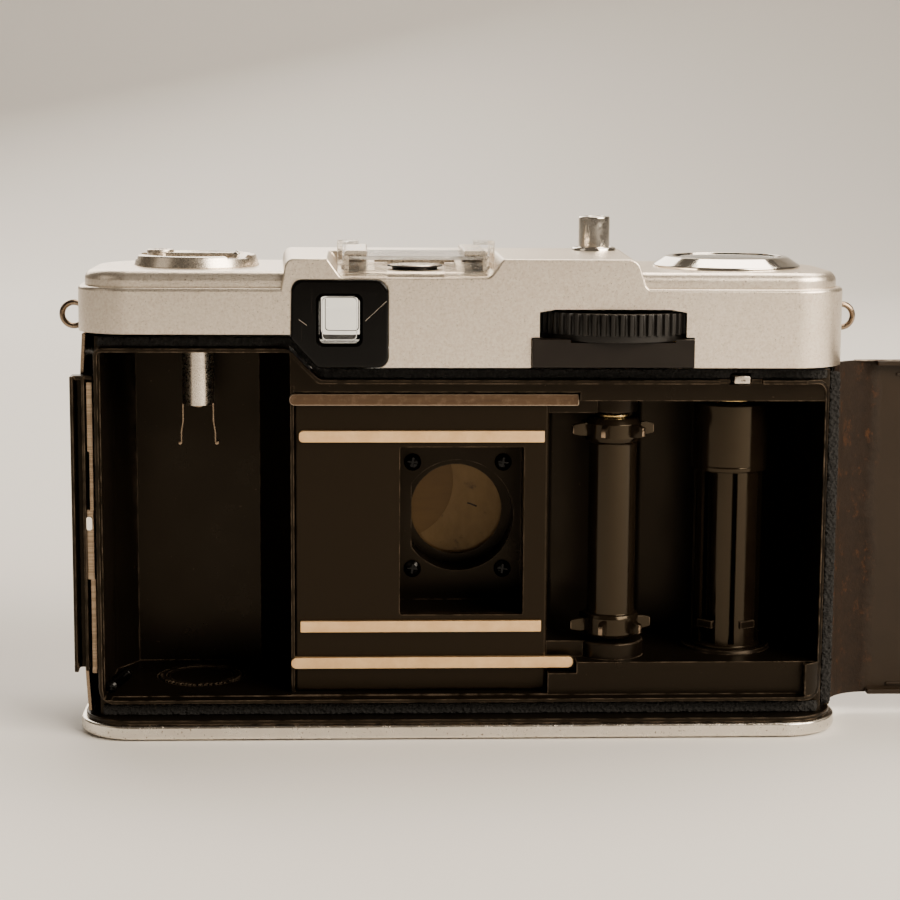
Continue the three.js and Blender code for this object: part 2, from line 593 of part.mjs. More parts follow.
function takeUpSpool() {
  const slots = 5;
  const foot = TAKEUP.bottom + 0.2;
  const collarLow = 35.6;
  let solid = solidOf(turnedUpright([
    [0, collarLow], [3.6, collarLow], [3.6, foot], [5.1, foot], [5.1, foot + 0.7], [SPOOL.radius, foot + 0.7],
    [SPOOL.radius, collarLow], [SPOOL.collar, collarLow], [SPOOL.collar, 45.6], [SHAFT_RADIUS, 45.6],
    [SHAFT_RADIUS, 56], [0, 56],
  ]));
  for (let i = 0; i < slots; i += 1) {
    const slot = box(0, 10, -0.6, 0.6, foot + 1.4, collarLow - 0.8);
    solid = solid.subtract(slot.rotate([0, 0, -62 + (360 * i) / slots]));
  }
  return solid;
}
add('take_up_spool', takeUpSpool(), BLACK_GLOSS, spool);
add('wheel_guard', box(9.2, 31.4, -5.6, -3.6, 52.2, 56.1), BLACK_MATTE);

// ---------------------------------------------------------------- frame counter
const counter = groupAt(COUNTER.x, COUNTER.y, 0);
add('counter_ring', turnedUpright([
  [7.7, 65.0], [COUNTER.radius, 65.0], [COUNTER.radius, 65.5], [8.4, 66.7], [7.7, 66.7], [7.7, 65.0],
], 28), CHROME, counter);
add('counter_glass', turnedUpright([[0, 65.6], [7.55, 65.6], [7.55, 66.1], [0, 66.4]], 32), GLASS, counter);
add('counter_dial', turnedUpright([
  [0, 61.0], [1.2, 61.0], [1.2, 63.6], [8.0, 63.6], [8.0, 64.1], [0, 64.1],
], 32), DIAL, counter);

// ---------------------------------------------------------------- shutter button
const button = groupAt(BUTTON.x, BUTTON.y, 0);
add('button_collar', turnedUpright(tube(2.5, 3.2, LEVEL.hump + GAP, LEVEL.hump + 0.7), 24), CHROME, button);
add('shutter_button', turnedUpright([
  [0, 62.8], [2.3, 62.8], [2.3, 71.5], [1.9, 71.9], [0.9, 71.9], [0, 71.6],
], 24), CHROME, button);

// ---------------------------------------------------------------- rewind crank and fork
const rewind = groupAt(REWIND.x, REWIND.y, 0);
const KNOB = { radius: 8.85, top: 8.5, low: 65.0, high: 67.1 };
const CRANK = { pivot: 5.6, reach: 12.6, half: 1.7, low: 66.3, high: 67.0 };

function rewindKnob() {
  const pocket = box(-CRANK.reach + CRANK.pivot - 0.9, FAR, -CRANK.half - 0.5, CRANK.half + 0.5, CRANK.low - 0.3, FAR)
    .add(post(CRANK.pivot - CRANK.reach + 1.9, 0, 2.7, CRANK.low - 0.3, FAR, 24));
  return solidOf(turnedUpright([
    [0, KNOB.low], [KNOB.radius, KNOB.low], [KNOB.radius, 66.2], [KNOB.top, KNOB.high], [0, KNOB.high],
  ], 28)).subtract(pocket);
}
add('rewind_knob', rewindKnob(), SATIN, rewind);

function rewindCrank() {
  const end = CRANK.pivot - CRANK.reach + 1.9;
  const arm = box(end, CRANK.pivot, -CRANK.half, CRANK.half, CRANK.low, CRANK.high);
  const round = post(end, 0, 1.9, CRANK.low, CRANK.high + 0.3, 20);
  return arm.add(round);
}
add('rewind_crank', rewindCrank(), SATIN, rewind);

add('rewind_sleeve', turnedUpright(tube(1.15, REWIND.shaft, REWIND.lowest, 63.6), 24), SATIN, rewind);

const FORK = { half: 2.5, thick: 0.4, low: 39.3, high: 44.9 };

function rewindFork() {
  let solid = post(0, 0, 1.0, FORK.high - 0.3, 64.8, 20)
    .add(box(-FORK.half, FORK.half, -0.9, 0.9, FORK.high - 0.6, FORK.high));
  for (const side of [-1, 1]) {
    const inner = side * (FORK.half - FORK.thick);
    const outer = side * FORK.half;
    const lip = side * (FORK.half + 0.4);
    const prong = box(Math.min(inner, outer), Math.max(inner, outer), -0.9, 0.9, FORK.low, FORK.high);
    const toe = box(Math.min(inner, lip), Math.max(inner, lip), -0.9, 0.9, FORK.low, FORK.low + 0.5);
    solid = solid.add(prong).add(toe);
  }
  return solid;
}
add('rewind_fork', rewindFork(), STEEL, rewind);

// ---------------------------------------------------------------- base
const TRIPOD = { x: -12, y: 12, radius: 6.0, hole: 3.0 };
const RELEASE = { x: 26, y: 9, radius: 2.4 };

function baseplate() {
  return upright(outline(-0.6), 0, LEVEL.baseTop, 0.45)
    .subtract(post(TRIPOD.x, TRIPOD.y, TRIPOD.radius + GAP, -1, FAR))
    .subtract(post(RELEASE.x, RELEASE.y, RELEASE.radius + 0.15, -1, FAR, 24));
}
add('baseplate', baseplate(), CHROME);
const bush = turnedUpright(tube(TRIPOD.hole, TRIPOD.radius, 0, LEVEL.baseTop), 32);
add('tripod_bush', bush.translate(TRIPOD.x, TRIPOD.y, 0), STEEL);
const release = turnedUpright([[0, 0.2], [1.0, 0.3], [RELEASE.radius, 0.5], [RELEASE.radius, 1.2], [0, 1.2]], 24);
add('rewind_release_button', release.translate(RELEASE.x, RELEASE.y, 0), STEEL);

// ---------------------------------------------------------------- light seals
const SEAL = { rear: -1.9, front: -1.3 };
const sealTop = forward(polygon([
  [-50.2, 54.7], [STEP.high + 0.5, 54.7], [STEP.low + 0.5, 50.4], [51.0, 50.4],
  [51.0, 51.5], [STEP.low + 1.0, 51.5], [STEP.high + 1.0, 55.9], [-50.2, 55.9],
]), SEAL.rear, SEAL.front);
const resetGap = box(RESET.left - 0.2, RESET.right + 0.2, -FAR, FAR, 50, 51);
add('light_seal_top', sealTop.subtract(resetGap).subtract(doorSweep()), FOAM);
add('light_seal_bottom', box(-50.2, 50.8, SEAL.rear, SEAL.front, 2.8, 4.2).subtract(doorSweep()), FOAM);
add('light_seal_hinge', box(51.3, 52.3, HINGE.y + 0.85, HINGE.y + 1.4, 3.2, 51.2), FOAM);

// ---------------------------------------------------------------- back door
// It is drawn shut and then turned half a turn about its hinge, so that it stands open.
const door = new THREE.Group();
door.position.set(2 * HINGE.x, 2 * HINGE.y, 0);
door.rotation.z = Math.PI;
camera.add(door);

function doorFace(left, right, low, top, leftTop, slantX) {
  return polygon([
    [left, low], [right, low], [right, top], [STEP.low + slantX, top],
    [STEP.high + slantX, leftTop], [left, leftTop],
  ]);
}

// The curved end that reaches round the corner of the body to the hinge.
function doorBend() {
  const { x, y } = DOOR_CORNER;
  const inner = DOOR.bend - (DOOR.inside - DOOR.outside);
  const shape = new THREE.Shape();
  shape.absarc(x, y, DOOR.bend, -Math.PI / 2, 0, false);
  shape.absarc(x, y, inner, 0, -Math.PI / 2, true);
  const knuckle = post(HINGE.x, HINGE.y, HINGE.knuckle, 5.0, 49.5, 16);
  return upright(shape, DOOR.bottom, DOOR.top).add(knuckle)
    .subtract(post(HINGE.x, HINGE.y, HINGE.pin + 0.07, 0, FAR, 16));
}

function backDoor() {
  const bendStart = DOOR_CORNER.x;
  const panel = forward(doorFace(DOOR.left, bendStart, DOOR.bottom, DOOR.top, DOOR.leftTop, 0), DOOR.outside, DOOR.inside);
  const lower = box(-47, bendStart - 0.5, DOOR.outside, -2.2, DOOR.bottom, DOOR.bottom + 0.7);
  const upper = box(STEP.low + 1, bendStart - 0.5, DOOR.outside, -2.2, DOOR.top - 0.6, DOOR.top);
  return panel.add(lower).add(upper).add(doorBend());
}
add('back_door', backDoor(), BLACK_PAINT, door);
add('door_leatherette', forward(doorFace(-48.5, 45.5, 3.6, 50.7, 55.0, 0), -4.95, -4.6), LEATHER, door);
add('pressure_plate', box(-15, 11, -0.85, -0.2, FILM.z - 17.4, FILM.z + 17.4), BLACK_GLOSS, door);
add('pressure_spring', forward(polygon([
  [-10, FILM.z - 14], [6, FILM.z - 14], [6, FILM.z + 14], [-10, FILM.z + 14],
]), -3.6, -3.2).add(box(-5, 1, -3.3, -2.4, FILM.z - 12, FILM.z - 11))
  .add(box(-5, 1, -3.3, -2.4, FILM.z + 11, FILM.z + 12)), STEEL, door);
add('hinge_pin', post(HINGE.x, HINGE.y, HINGE.pin, 2.7, 51.7, 12), BRASS);

// ---------------------------------------------------------------- door latch, on the left end
const LATCH = { left: -53.9, right: -51.95, rear: -3.6, front: -0.4, low: 9.5, high: 50.7, wall: 0.5 };
const STRIP = { left: -51.75, right: -50.85, rear: -2.6, front: 7.5, low: 9.0, high: 49.8, slots: [21.5, 40.0] };

// The channel the thumb pulls down, capped at the top where it reaches across to the strip.
function latchBar() {
  const { left, right, rear, front, low, high, wall } = LATCH;
  return box(left, right, rear, front, low, high)
    .subtract(box(left + wall, right - wall, -FAR, front - wall, low + 0.8, high - 0.8))
    .add(box(left, STRIP.right, -2.4, front, high - 0.6, high));
}
add('latch_bar', latchBar(), BLACK_PAINT);

// The sliding strip, notched where the hooks of the door pass through it.
function latchStrip() {
  const { left, right, rear, front, low, high, slots } = STRIP;
  let strip = box(left, right, rear, front, low, high);
  for (const z of slots) {
    strip = strip.subtract(box(-FAR, FAR, -FAR, -0.4, z - 1.2, z + 2.4));
  }
  return strip;
}
add('latch_strip', latchStrip(), STEEL);

// A satin strip that bows outwards between the cover and the base, behind the channel.
function latchPlate() {
  const shape = new THREE.Shape();
  shape.moveTo(-52.5, 2.9);
  shape.quadraticCurveTo(-54.3, 29.5, -52.5, 56.3);
  shape.lineTo(-51.95, 56.3);
  shape.quadraticCurveTo(-53.7, 29.5, -51.95, 2.9);
  return forward(shape, 0.0, 9.4, 10);
}
add('latch_plate', latchPlate(), SATIN);

// A short knurled stud leans across the corner of the cassette chamber.
const STUD = { x: -48.1, y: 3.4, z: 6.95, radius: 0.9, length: 2.8, tilt: 50 };
const stud = add('knurled_stud', post(0, 0, STUD.radius, -STUD.length / 2, STUD.length / 2, 12), STEEL);
stud.position.set(STUD.x, STUD.y, STUD.z);
stud.rotation.y = THREE.MathUtils.degToRad(STUD.tilt);

// The pin that the closing door pushes in to set the frame counter back to its start.
add('counter_reset_pin', box(RESET.left, RESET.right, -3.2, 2.2, RESET.low, RESET.high), STEEL);

export default camera;
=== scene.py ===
"""Looks of a half frame camera that stands with its hinged back wide open.

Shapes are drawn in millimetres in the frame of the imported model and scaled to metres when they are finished.
+X is to the right as seen from behind, +Y is the way the lens points, +Z is up.
"""

import math
import random

import bmesh
import bpy
from mathutils import Euler, Matrix, Vector


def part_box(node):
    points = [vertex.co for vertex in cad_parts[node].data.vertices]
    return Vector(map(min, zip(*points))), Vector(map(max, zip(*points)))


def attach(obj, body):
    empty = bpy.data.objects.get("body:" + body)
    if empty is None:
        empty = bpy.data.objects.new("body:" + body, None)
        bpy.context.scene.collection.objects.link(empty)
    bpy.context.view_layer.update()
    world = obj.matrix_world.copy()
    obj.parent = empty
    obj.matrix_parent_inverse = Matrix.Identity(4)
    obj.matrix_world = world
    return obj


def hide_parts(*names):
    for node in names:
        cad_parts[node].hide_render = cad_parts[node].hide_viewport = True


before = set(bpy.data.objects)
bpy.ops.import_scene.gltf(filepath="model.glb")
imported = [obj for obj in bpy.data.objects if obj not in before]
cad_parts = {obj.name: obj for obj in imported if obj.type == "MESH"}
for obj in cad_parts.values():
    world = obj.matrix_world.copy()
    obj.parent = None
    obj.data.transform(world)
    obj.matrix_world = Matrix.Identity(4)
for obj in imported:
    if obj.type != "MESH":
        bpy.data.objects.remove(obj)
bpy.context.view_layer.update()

# ------------------------------------------------------------------ driving dimensions, in millimetres
MM = 0.001
FAR = 200.0
FILM_Z = 28.4
LENS_AXIS = (0, 0, FILM_Z)
GATE_WIDTH, GATE_HEIGHT = 17.4, 23.9
ROW_SPACING = 28.17

BODY_HALF, BODY_REAR, BODY_FRONT = 53.2, -4.7, 25.0
REAR_RADIUS, FRONT_RADIUS = 7.5, 13.0
BASE_TOP = 2.0
COVER_EDGE, COVER_LEFT_EDGE = 52.1, 56.6
LEDGE, DECK, HUMP_TOP = 62.9, 65.1, 66.9
STEP_HIGH, STEP_LOW = -24.3, -20.0

RIM_LEFT, RIM_RIGHT, RIM_BOTTOM, RIM_TOP, RIM_LEFT_TOP = -50.1, 50.6, 5.2, 49.7, 54.0
CASTING_REAR = -1.2
HINGE = (52.8, 2.5)
DOOR_LEFT, DOOR_RIGHT, DOOR_BOTTOM, DOOR_TOP, DOOR_LEFT_TOP = -51.2, 53.2, 2.8, 51.8, 56.3
DOOR_OUTSIDE, DOOR_INSIDE, DOOR_BEND = -4.5, -3.75, 7.5


def centre(node):
    """The middle of a CAD node's box, in millimetres."""
    low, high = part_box(node)
    return (Vector(low) + Vector(high)) * (0.5 / MM)


def extent(node):
    """A CAD node's lowest and highest corners, in millimetres."""
    low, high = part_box(node)
    return Vector(low) / MM, Vector(high) / MM


# ------------------------------------------------------------------ outlines
def rounded(points, radii, steps=5, closed=True):
    """A polygon whose corners are replaced by arcs. radii is one number or one for each corner."""
    if not isinstance(radii, (list, tuple)):
        radii = [radii] * len(points)
    out = []
    for i, (point, radius) in enumerate(zip(points, radii)):
        here = Vector(point)
        if radius <= 0 or (not closed and i in (0, len(points) - 1)):
            out.append(here)
            continue
        before = (Vector(points[i - 1]) - here).normalized()
        after = (Vector(points[(i + 1) % len(points)]) - here).normalized()
        half = before.angle(after) / 2
        if half > math.radians(89.5):
            out.append(here)
            continue
        middle = here + (before + after).normalized() * (radius / math.sin(half))
        reach = radius / math.tan(half)
        start = here + before * reach - middle
        end = here + after * reach - middle
        turn = start.angle(end)
        for k in range(steps + 1):
            share = k / steps
            arc = start * math.sin((1 - share) * turn) + end * math.sin(share * turn)
            out.append(middle + arc / math.sin(turn))
    return out


def rectangle(x0, x1, y0, y1):
    return [(x0, y0), (x1, y0), (x1, y1), (x0, y1)]


def body_outline(inset=0.0, front=BODY_FRONT, steps=16):
    """The body in plan, shrunk by inset all round."""
    corners = rectangle(-BODY_HALF + inset, BODY_HALF - inset, BODY_REAR + inset, front - inset)
    rear, fore = REAR_RADIUS - inset, FRONT_RADIUS - inset
    return rounded(corners, [rear, rear, fore, fore], steps)


def compartment(margin):
    """The film compartment in X and Z, with its step under the viewfinder, grown by margin."""
    slant = margin * 0.41
    return [
        (RIM_LEFT - margin, RIM_BOTTOM - margin),
        (RIM_RIGHT + margin, RIM_BOTTOM - margin),
        (RIM_RIGHT + margin, RIM_TOP + margin),
        (STEP_LOW + slant, RIM_TOP + margin),
        (STEP_HIGH + slant, RIM_LEFT_TOP + margin),
        (RIM_LEFT - margin, RIM_LEFT_TOP + margin),
    ]


def polar(radius, angle):
    return (radius * math.cos(angle), radius * math.sin(angle))


# ------------------------------------------------------------------ solids
def from_bmesh(bm):
    bmesh.ops.remove_doubles(bm, verts=bm.verts, dist=1e-5)
    bmesh.ops.recalc_face_normals(bm, faces=bm.faces)
    mesh = bpy.data.meshes.new("shape")
    bm.to_mesh(mesh)
    bm.free()
    obj = bpy.data.objects.new("shape", mesh)
    bpy.context.scene.collection.objects.link(obj)
    return obj


def loft(rings, closed=False, caps=True):
    """Skins a row of rings that have the same number of points."""
    bm = bmesh.new()
    rows = [[bm.verts.new(point) for point in ring] for ring in rings]
    pairs = list(zip(rows, rows[1:]))
    if closed:
        pairs.append((rows[-1], rows[0]))
    count = len(rows[0])
    for lower, upper in pairs:
        for i in range(count):
            j = (i + 1) % count
            bm.faces.new((lower[i], lower[j], upper[j], upper[i]))
    if caps and not closed:
        bm.faces.new(rows[0][::-1])
        bm.faces.new(rows[-1])
    return from_bmesh(bm)


def place(point, height, plane):
    """A point of an outline put at a height: plane is top (X, Y), back (X, Z) or side (Y, Z)."""
    u, v = point
    return {"top": (u, v, height), "back": (u, height, v), "side": (height, u, v)}[plane]


def prism(points, low, high, plane="top"):
    return loft([[place(p, height, plane) for p in points] for height in (low, high)])


def slab(outline_at, low, high, round_top=0.0, round_low=0.0, steps=5, plane="top"):
    """A prism whose rims are rounded. outline_at(inset) gives the outline shrunk by inset."""
    rings = []
    for k in range(steps + 1):
        angle = math.pi / 2 * k / steps
        if round_low:
            rings.append((round_low * (1 - math.sin(angle)), low + round_low * (1 - math.cos(angle))))
    if not round_low:
        rings.append((0.0, low))
    if not round_top:
        rings.append((0.0, high))
    for k in range(steps + 1):
        angle = math.pi / 2 * k / steps
        if round_top:
            rings.append((round_top * (1 - math.cos(angle)), high - round_top * (1 - math.sin(angle))))
    return loft([[place(p, height, plane) for p in outline_at(inset)] for inset, height in rings])


def lathe(profile, at=(0, 0, 0), axis="Z", steps=96):
    """Turns [radius, height] points about an axis through at."""
    rings = []
    for radius, height in profile:
        ring = []
        for i in range(steps):
            u, v = polar(radius, 2 * math.pi * i / steps)
            point = {"Z": (u, v, height), "Y": (u, height, v), "X": (height, u, v)}[axis]
            ring.append(Vector(point) + Vector(at))
        rings.append(ring)
    return loft(rings, closed=profile[0][0] > 0, caps=False)


def disc_profile(radius, low, high, edge=0.1):
    return rounded([(0, low), (radius, low), (radius, high), (0, high)], edge, 3, closed=False)


def tube_profile(inner, outer, low, high, edge=0.08):
    return rounded([(inner, low), (outer, low), (outer, high), (inner, high)], edge, 3)


def turned(points, radii, at=(0, 0, 0), steps=96, arc=4, axis="Z", closed=False):
    """Rounds a polygon's corners and turns it about an axis through at."""
    return lathe(rounded(points, radii, arc, closed), at, axis, steps)


def tile(x0, x1, z0, z1, radius, rear, front, steps=5):
    """A plate with rounded corners in X and Z; rear and front are its faces in Y."""
    return prism(rounded(rectangle(x0, x1, z0, z1), radius, steps), rear, front, "back")


def shrinking(x0, x1, z0, z1, radius):
    """A rectangle with rounded corners as a function of inset, the way slab takes its outline."""
    return lambda inset: rounded(rectangle(x0 + inset, x1 - inset, z0 + inset, z1 - inset), radius)


def rod(x, y, radius, low, high, edge=0.1, steps=48):
    return lathe(disc_profile(radius, low, high, edge), (x, y, 0), "Z", steps)


def peg(x, z, radius, low, high, edge=0.1, steps=64):
    return lathe(disc_profile(radius, low, high, edge), (x, 0, z), "Y", steps)


def block(x0, x1, y0, y1, z0, z1, edge=0.0):
    obj = prism(rectangle(x0, x1, y0, y1), z0, z1)
    return bevelled(obj, edge) if edge else obj


def baked(obj):
    """Applies the object's modifiers to its mesh."""
    bpy.context.view_layer.update()
    depsgraph = bpy.context.evaluated_depsgraph_get()
    mesh = bpy.data.meshes.new_from_object(obj.evaluated_get(depsgraph))
    obj.modifiers.clear()
    obj.data = mesh
    return obj


def bevelled(obj, width, steps=2, angle=35):
    edge = obj.modifiers.new("edge", "BEVEL")
    edge.width = width
    edge.segments = steps
    edge.limit_method = "ANGLE"
    edge.angle_limit = math.radians(angle)
    edge.use_clamp_overlap = True
    return baked(obj)


def combined(obj, tools, operation):
    for tool in tools:
        work = obj.modifiers.new("work", "BOOLEAN")
        work.operation = operation
        work.object = tool
        work.solver = "MANIFOLD"
        baked(obj)
        bpy.data.objects.remove(tool)
    return obj


def cut(obj, *tools):
    return combined(obj, tools, "DIFFERENCE")


def fuse(obj, *tools):
    return combined(obj, tools, "UNION")


def common(obj, *tools):
    return combined(obj, tools, "INTERSECT")


def joined(obj, *others):
    """Puts separate shells into one object without merging them."""
    bm = bmesh.new()
    for part in (obj, *others):
        bm.from_mesh(part.data)
    bm.to_mesh(obj.data)
    bm.free()
    for part in others:
        bpy.data.objects.remove(part)
    return obj


def moved(obj, offset=(0, 0, 0), turn=(0, 0, 0)):
    """Turns a shape about the origin, in degrees about X, Y and Z, and then moves it."""
    spin = Euler([math.radians(a) for a in turn]).to_matrix().to_4x4()
    obj.data.transform(Matrix.Translation(offset) @ spin)
    return obj


def opened(obj):
    """Turns a shape drawn with the door shut through half a turn about the hinge."""
    about = Matrix.Translation((*HINGE, 0))
    obj.data.transform(about @ Matrix.Rotation(math.pi, 4, "Z") @ about.inverted())
    return obj


def ribbed_outline(radius, depth, ribs, crest=0.5):
    """A toothed circle: crest is the share of each rib's pitch that stands at the full radius."""
    pitch = 2 * math.pi / ribs
    foot = radius - depth
    rib = ((radius, 0.0), (radius, crest), (foot, crest + 0.14), (foot, 0.86))
    return [polar(reach, (i + share) * pitch) for i in range(ribs) for reach, share in rib]


# ------------------------------------------------------------------ materials
MATERIALS = {}


class Nodes:
    """Short names for building one material's node tree."""

    def __init__(self, name):
        self.material = bpy.data.materials.new(name)
        self.material.use_nodes = True
        self.tree = self.material.node_tree
        self.shader = self.tree.nodes["Principled BSDF"]
        self.place = self.tree.nodes.new("ShaderNodeTexCoord").outputs["Object"]

    def add(self, kind, inputs=None, **settings):
        node = self.tree.nodes.new(kind)
        for key, value in settings.items():
            setattr(node, key, value)
        for key, value in (inputs or {}).items():
            self.set(node.inputs[key], value)
        return node

    def set(self, socket, value):
        if isinstance(value, bpy.types.NodeSocket):
            self.tree.links.new(value, socket)
        else:
            socket.default_value = value

    def noise(self, scale, detail=3.0, roughness=0.5, stretch=(1, 1, 1), distortion=0.0):
        mapping = self.add("ShaderNodeMapping", {"Vector": self.place, "Scale": stretch})
        node = self.add("ShaderNodeTexNoise", {
            "Vector": mapping.outputs[0], "Scale": scale, "Detail": detail,
            "Roughness": roughness, "Distortion": distortion,
        })
        return node.outputs["Fac"]

    def cells(self, scale):
        node = self.add("ShaderNodeTexVoronoi", {"Vector": self.place, "Scale": scale})
        return node.outputs["Distance"]

    def ramp(self, value, low, high, start=0.0, end=1.0):
        node = self.add("ShaderNodeMapRange", {
            "Value": value, "From Min": low, "From Max": high, "To Min": start, "To Max": end,
        })
        return node.outputs[0]

    def math(self, operation, a, b):
        return self.add("ShaderNodeMath", {0: a, 1: b}, operation=operation).outputs[0]

    def mix(self, share, a, b):
        node = self.add("ShaderNodeMix", data_type="RGBA")
        self.set(node.inputs[0], share)
        self.set(node.inputs[6], a)
        self.set(node.inputs[7], b)
        return node.outputs[2]

    def bump(self, height, depth, strength=1.0):
        previous = self.shader.inputs["Normal"].links
        normal = previous[0].from_socket if previous else None
        node = self.add("ShaderNodeBump", {"Height": height, "Distance": depth, "Strength": strength})
        if normal:
            self.set(node.inputs["Normal"], normal)
        self.set(self.shader.inputs["Normal"], node.outputs[0])

    def axis(self, letter):
        split = self.add("ShaderNodeSeparateXYZ", {0: self.place})
        return split.outputs[letter]

    def worn_edges(self, radius):
        """1 near sharp edges and 0 elsewhere."""
        bevel = self.add("ShaderNodeBevel", {"Radius": radius}, samples=4)
        geometry = self.add("ShaderNodeNewGeometry")
        normals = {0: bevel.outputs[0], 1: geometry.outputs["True Normal"]}
        dot = self.add("ShaderNodeVectorMath", normals, operation="DOT_PRODUCT")
        return self.ramp(dot.outputs["Value"], 0.995, 0.9)

    def look(self, **inputs):
        for key, value in inputs.items():
            self.set(self.shader.inputs[key.replace("_", " ").title().replace("Ior", "IOR")], value)

    def tones(self, share, dark, light, **inputs):
        self.look(base_color=self.mix(share, dark, light), **inputs)

    def metal(self, share, dark, light):
        self.tones(share, dark, light, metallic=1.0)

    def rough(self, value, low, high, start=0.3, end=0.7):
        """Roughness that runs from low to high while value runs from start to end."""
        self.look(roughness=self.ramp(value, start, end, low, high))


def rgb(red, green, blue):
    return (red, green, blue, 1.0)


def material(slot):
    """Registers a material under its function's name, with its slot name."""
    def register(build):
        nodes = Nodes(build.__name__)
        build(nodes)
        MATERIALS[build.__name__] = (nodes.material, slot)
        return build
    return register


@material("satin_silver")
def satin_silver(n):
    mottle = n.noise(160, 4, 0.6)
    grain = n.noise(5200, 2, 0.5)
    stain = n.ramp(n.noise(45, 5, 0.65), 0.62, 0.8)
    speckle = n.ramp(n.noise(2600, 4, 0.7), 0.38, 0.62)
    # Painted reflection: the tan cast of these silver tones stands in for a warm backdrop mirrored in the
    # satin metal.
    clean = n.mix(mottle, rgb(0.70, 0.59, 0.47), rgb(0.80, 0.70, 0.58))
    grainy = n.mix(n.math("MULTIPLY", speckle, 0.6), clean, rgb(0.96, 0.88, 0.77))
    n.metal(stain, grainy, rgb(0.62, 0.52, 0.41))
    n.rough(grain, 0.27, 0.40)
    n.bump(grain, 0.00003, 0.5)
    n.bump(n.noise(900, 3), 0.00002, 0.25)


@material("satin_silver")
def turned_silver(n):
    grain = n.noise(4200, 2)
    n.metal(n.noise(220, 4), rgb(0.66, 0.58, 0.48), rgb(0.82, 0.74, 0.64))
    n.rough(grain, 0.22, 0.34)
    n.bump(grain, 0.000015, 0.3)


@material("bright_chrome")
def bright_chrome(n):
    haze = n.noise(700, 5, 0.7)
    n.metal(haze, rgb(0.80, 0.74, 0.66), rgb(0.92, 0.87, 0.79))
    n.rough(haze, 0.07, 0.24, 0.45, 0.75)
    n.bump(n.noise(2500, 3), 0.00001, 0.15)


@material("bright_chrome")
def base_chrome(n):
    haze = n.noise(420, 6, 0.75)
    pits = n.ramp(n.noise(2600, 2), 0.66, 0.72)
    clean = n.mix(haze, rgb(0.62, 0.56, 0.48), rgb(0.86, 0.81, 0.73))
    n.metal(pits, clean, rgb(0.20, 0.15, 0.10))
    n.rough(haze, 0.16, 0.34, 0.4, 0.7)
    n.bump(pits, 0.00003, 0.6)


@material("steel")
def dull_steel(n):
    streaks = n.noise(1400, 3, 0.6, (1, 1, 0.12))
    n.metal(streaks, rgb(0.44, 0.38, 0.31), rgb(0.74, 0.68, 0.60))
    n.rough(streaks, 0.22, 0.42)
    n.bump(n.noise(3800, 2), 0.00002, 0.4)


@material("steel")
def sooty_steel(n):
    """Steel gone dark, light only where something bright is mirrored in it."""
    soot = n.noise(1600, 4, 0.7)
    n.metal(soot, rgb(0.10, 0.07, 0.045), rgb(0.36, 0.27, 0.19))
    n.rough(soot, 0.16, 0.34)
    n.bump(soot, 0.00002, 0.4)


@material("steel")
def ridged_tan(n):
    """The latch's sliding strip: dull metal crossed by fine dark lines."""
    lines = n.ramp(n.noise(5200, 1, 0.5, (0.02, 0.02, 1)), 0.46, 0.56)
    grime = n.noise(260, 4)
    clean = n.mix(grime, rgb(0.33, 0.23, 0.145), rgb(0.50, 0.38, 0.26))
    n.tones(n.math("MULTIPLY", lines, 0.5), clean, rgb(0.12, 0.075, 0.04), metallic=0.5)
    n.rough(grime, 0.4, 0.6)
    n.bump(lines, 0.00003, 0.4)


@material("steel")
def bright_rail(n):
    """Polished casting metal, scratched along the film's path."""
    scratches = n.noise(1500, 4, 0.7, (0.05, 1, 1))
    wear = n.noise(240, 5, 0.7)
    n.metal(n.ramp(wear, 0.35, 0.7), rgb(0.76, 0.48, 0.24), rgb(0.92, 0.64, 0.34))
    n.rough(scratches, 0.34, 0.5)
    n.bump(scratches, 0.00001, 0.35)


@material("steel")
def tarnished_rail(n):
    scratches = n.noise(1700, 5, 0.75, (0.12, 1, 1))
    spots = n.ramp(n.noise(900, 5, 0.7), 0.5, 0.68)
    dull = n.mix(scratches, rgb(0.045, 0.026, 0.014), rgb(0.14, 0.088, 0.052))
    spotted = n.mix(n.math("MULTIPLY", spots, 0.15), dull, rgb(0.42, 0.32, 0.23))
    n.tones(n.worn_edges(0.0002), spotted, rgb(0.62, 0.50, 0.38), metallic=0.85)
    n.rough(scratches, 0.32, 0.52)
    n.bump(scratches, 0.00002, 0.5)


@material("brass")
def brass(n):
    tone = n.noise(800, 4)
    n.metal(tone, rgb(0.55, 0.36, 0.12), rgb(0.82, 0.62, 0.30))
    n.rough(tone, 0.18, 0.36)


@material("blade_bronze")
def blade_dark(n):
    rub = n.noise(900, 4, 0.6, (0.2, 1, 1))
    n.tones(rub, rgb(0.105, 0.054, 0.012), rgb(0.145, 0.080, 0.020), metallic=0.35)
    n.look(roughness=0.5)
    n.bump(rub, 0.00001, 0.3)


@material("blade_bronze")
def blade_light(n):
    rub = n.noise(700, 5, 0.65, (1, 1, 0.5))
    dirt = n.ramp(n.noise(330, 4, 0.7), 0.6, 0.74)
    clean = n.mix(rub, rgb(0.125, 0.070, 0.020), rgb(0.23, 0.140, 0.050))
    n.tones(dirt, clean, rgb(0.055, 0.032, 0.013), metallic=0.35)
    n.look(roughness=0.48)
    n.bump(rub, 0.00001, 0.3)


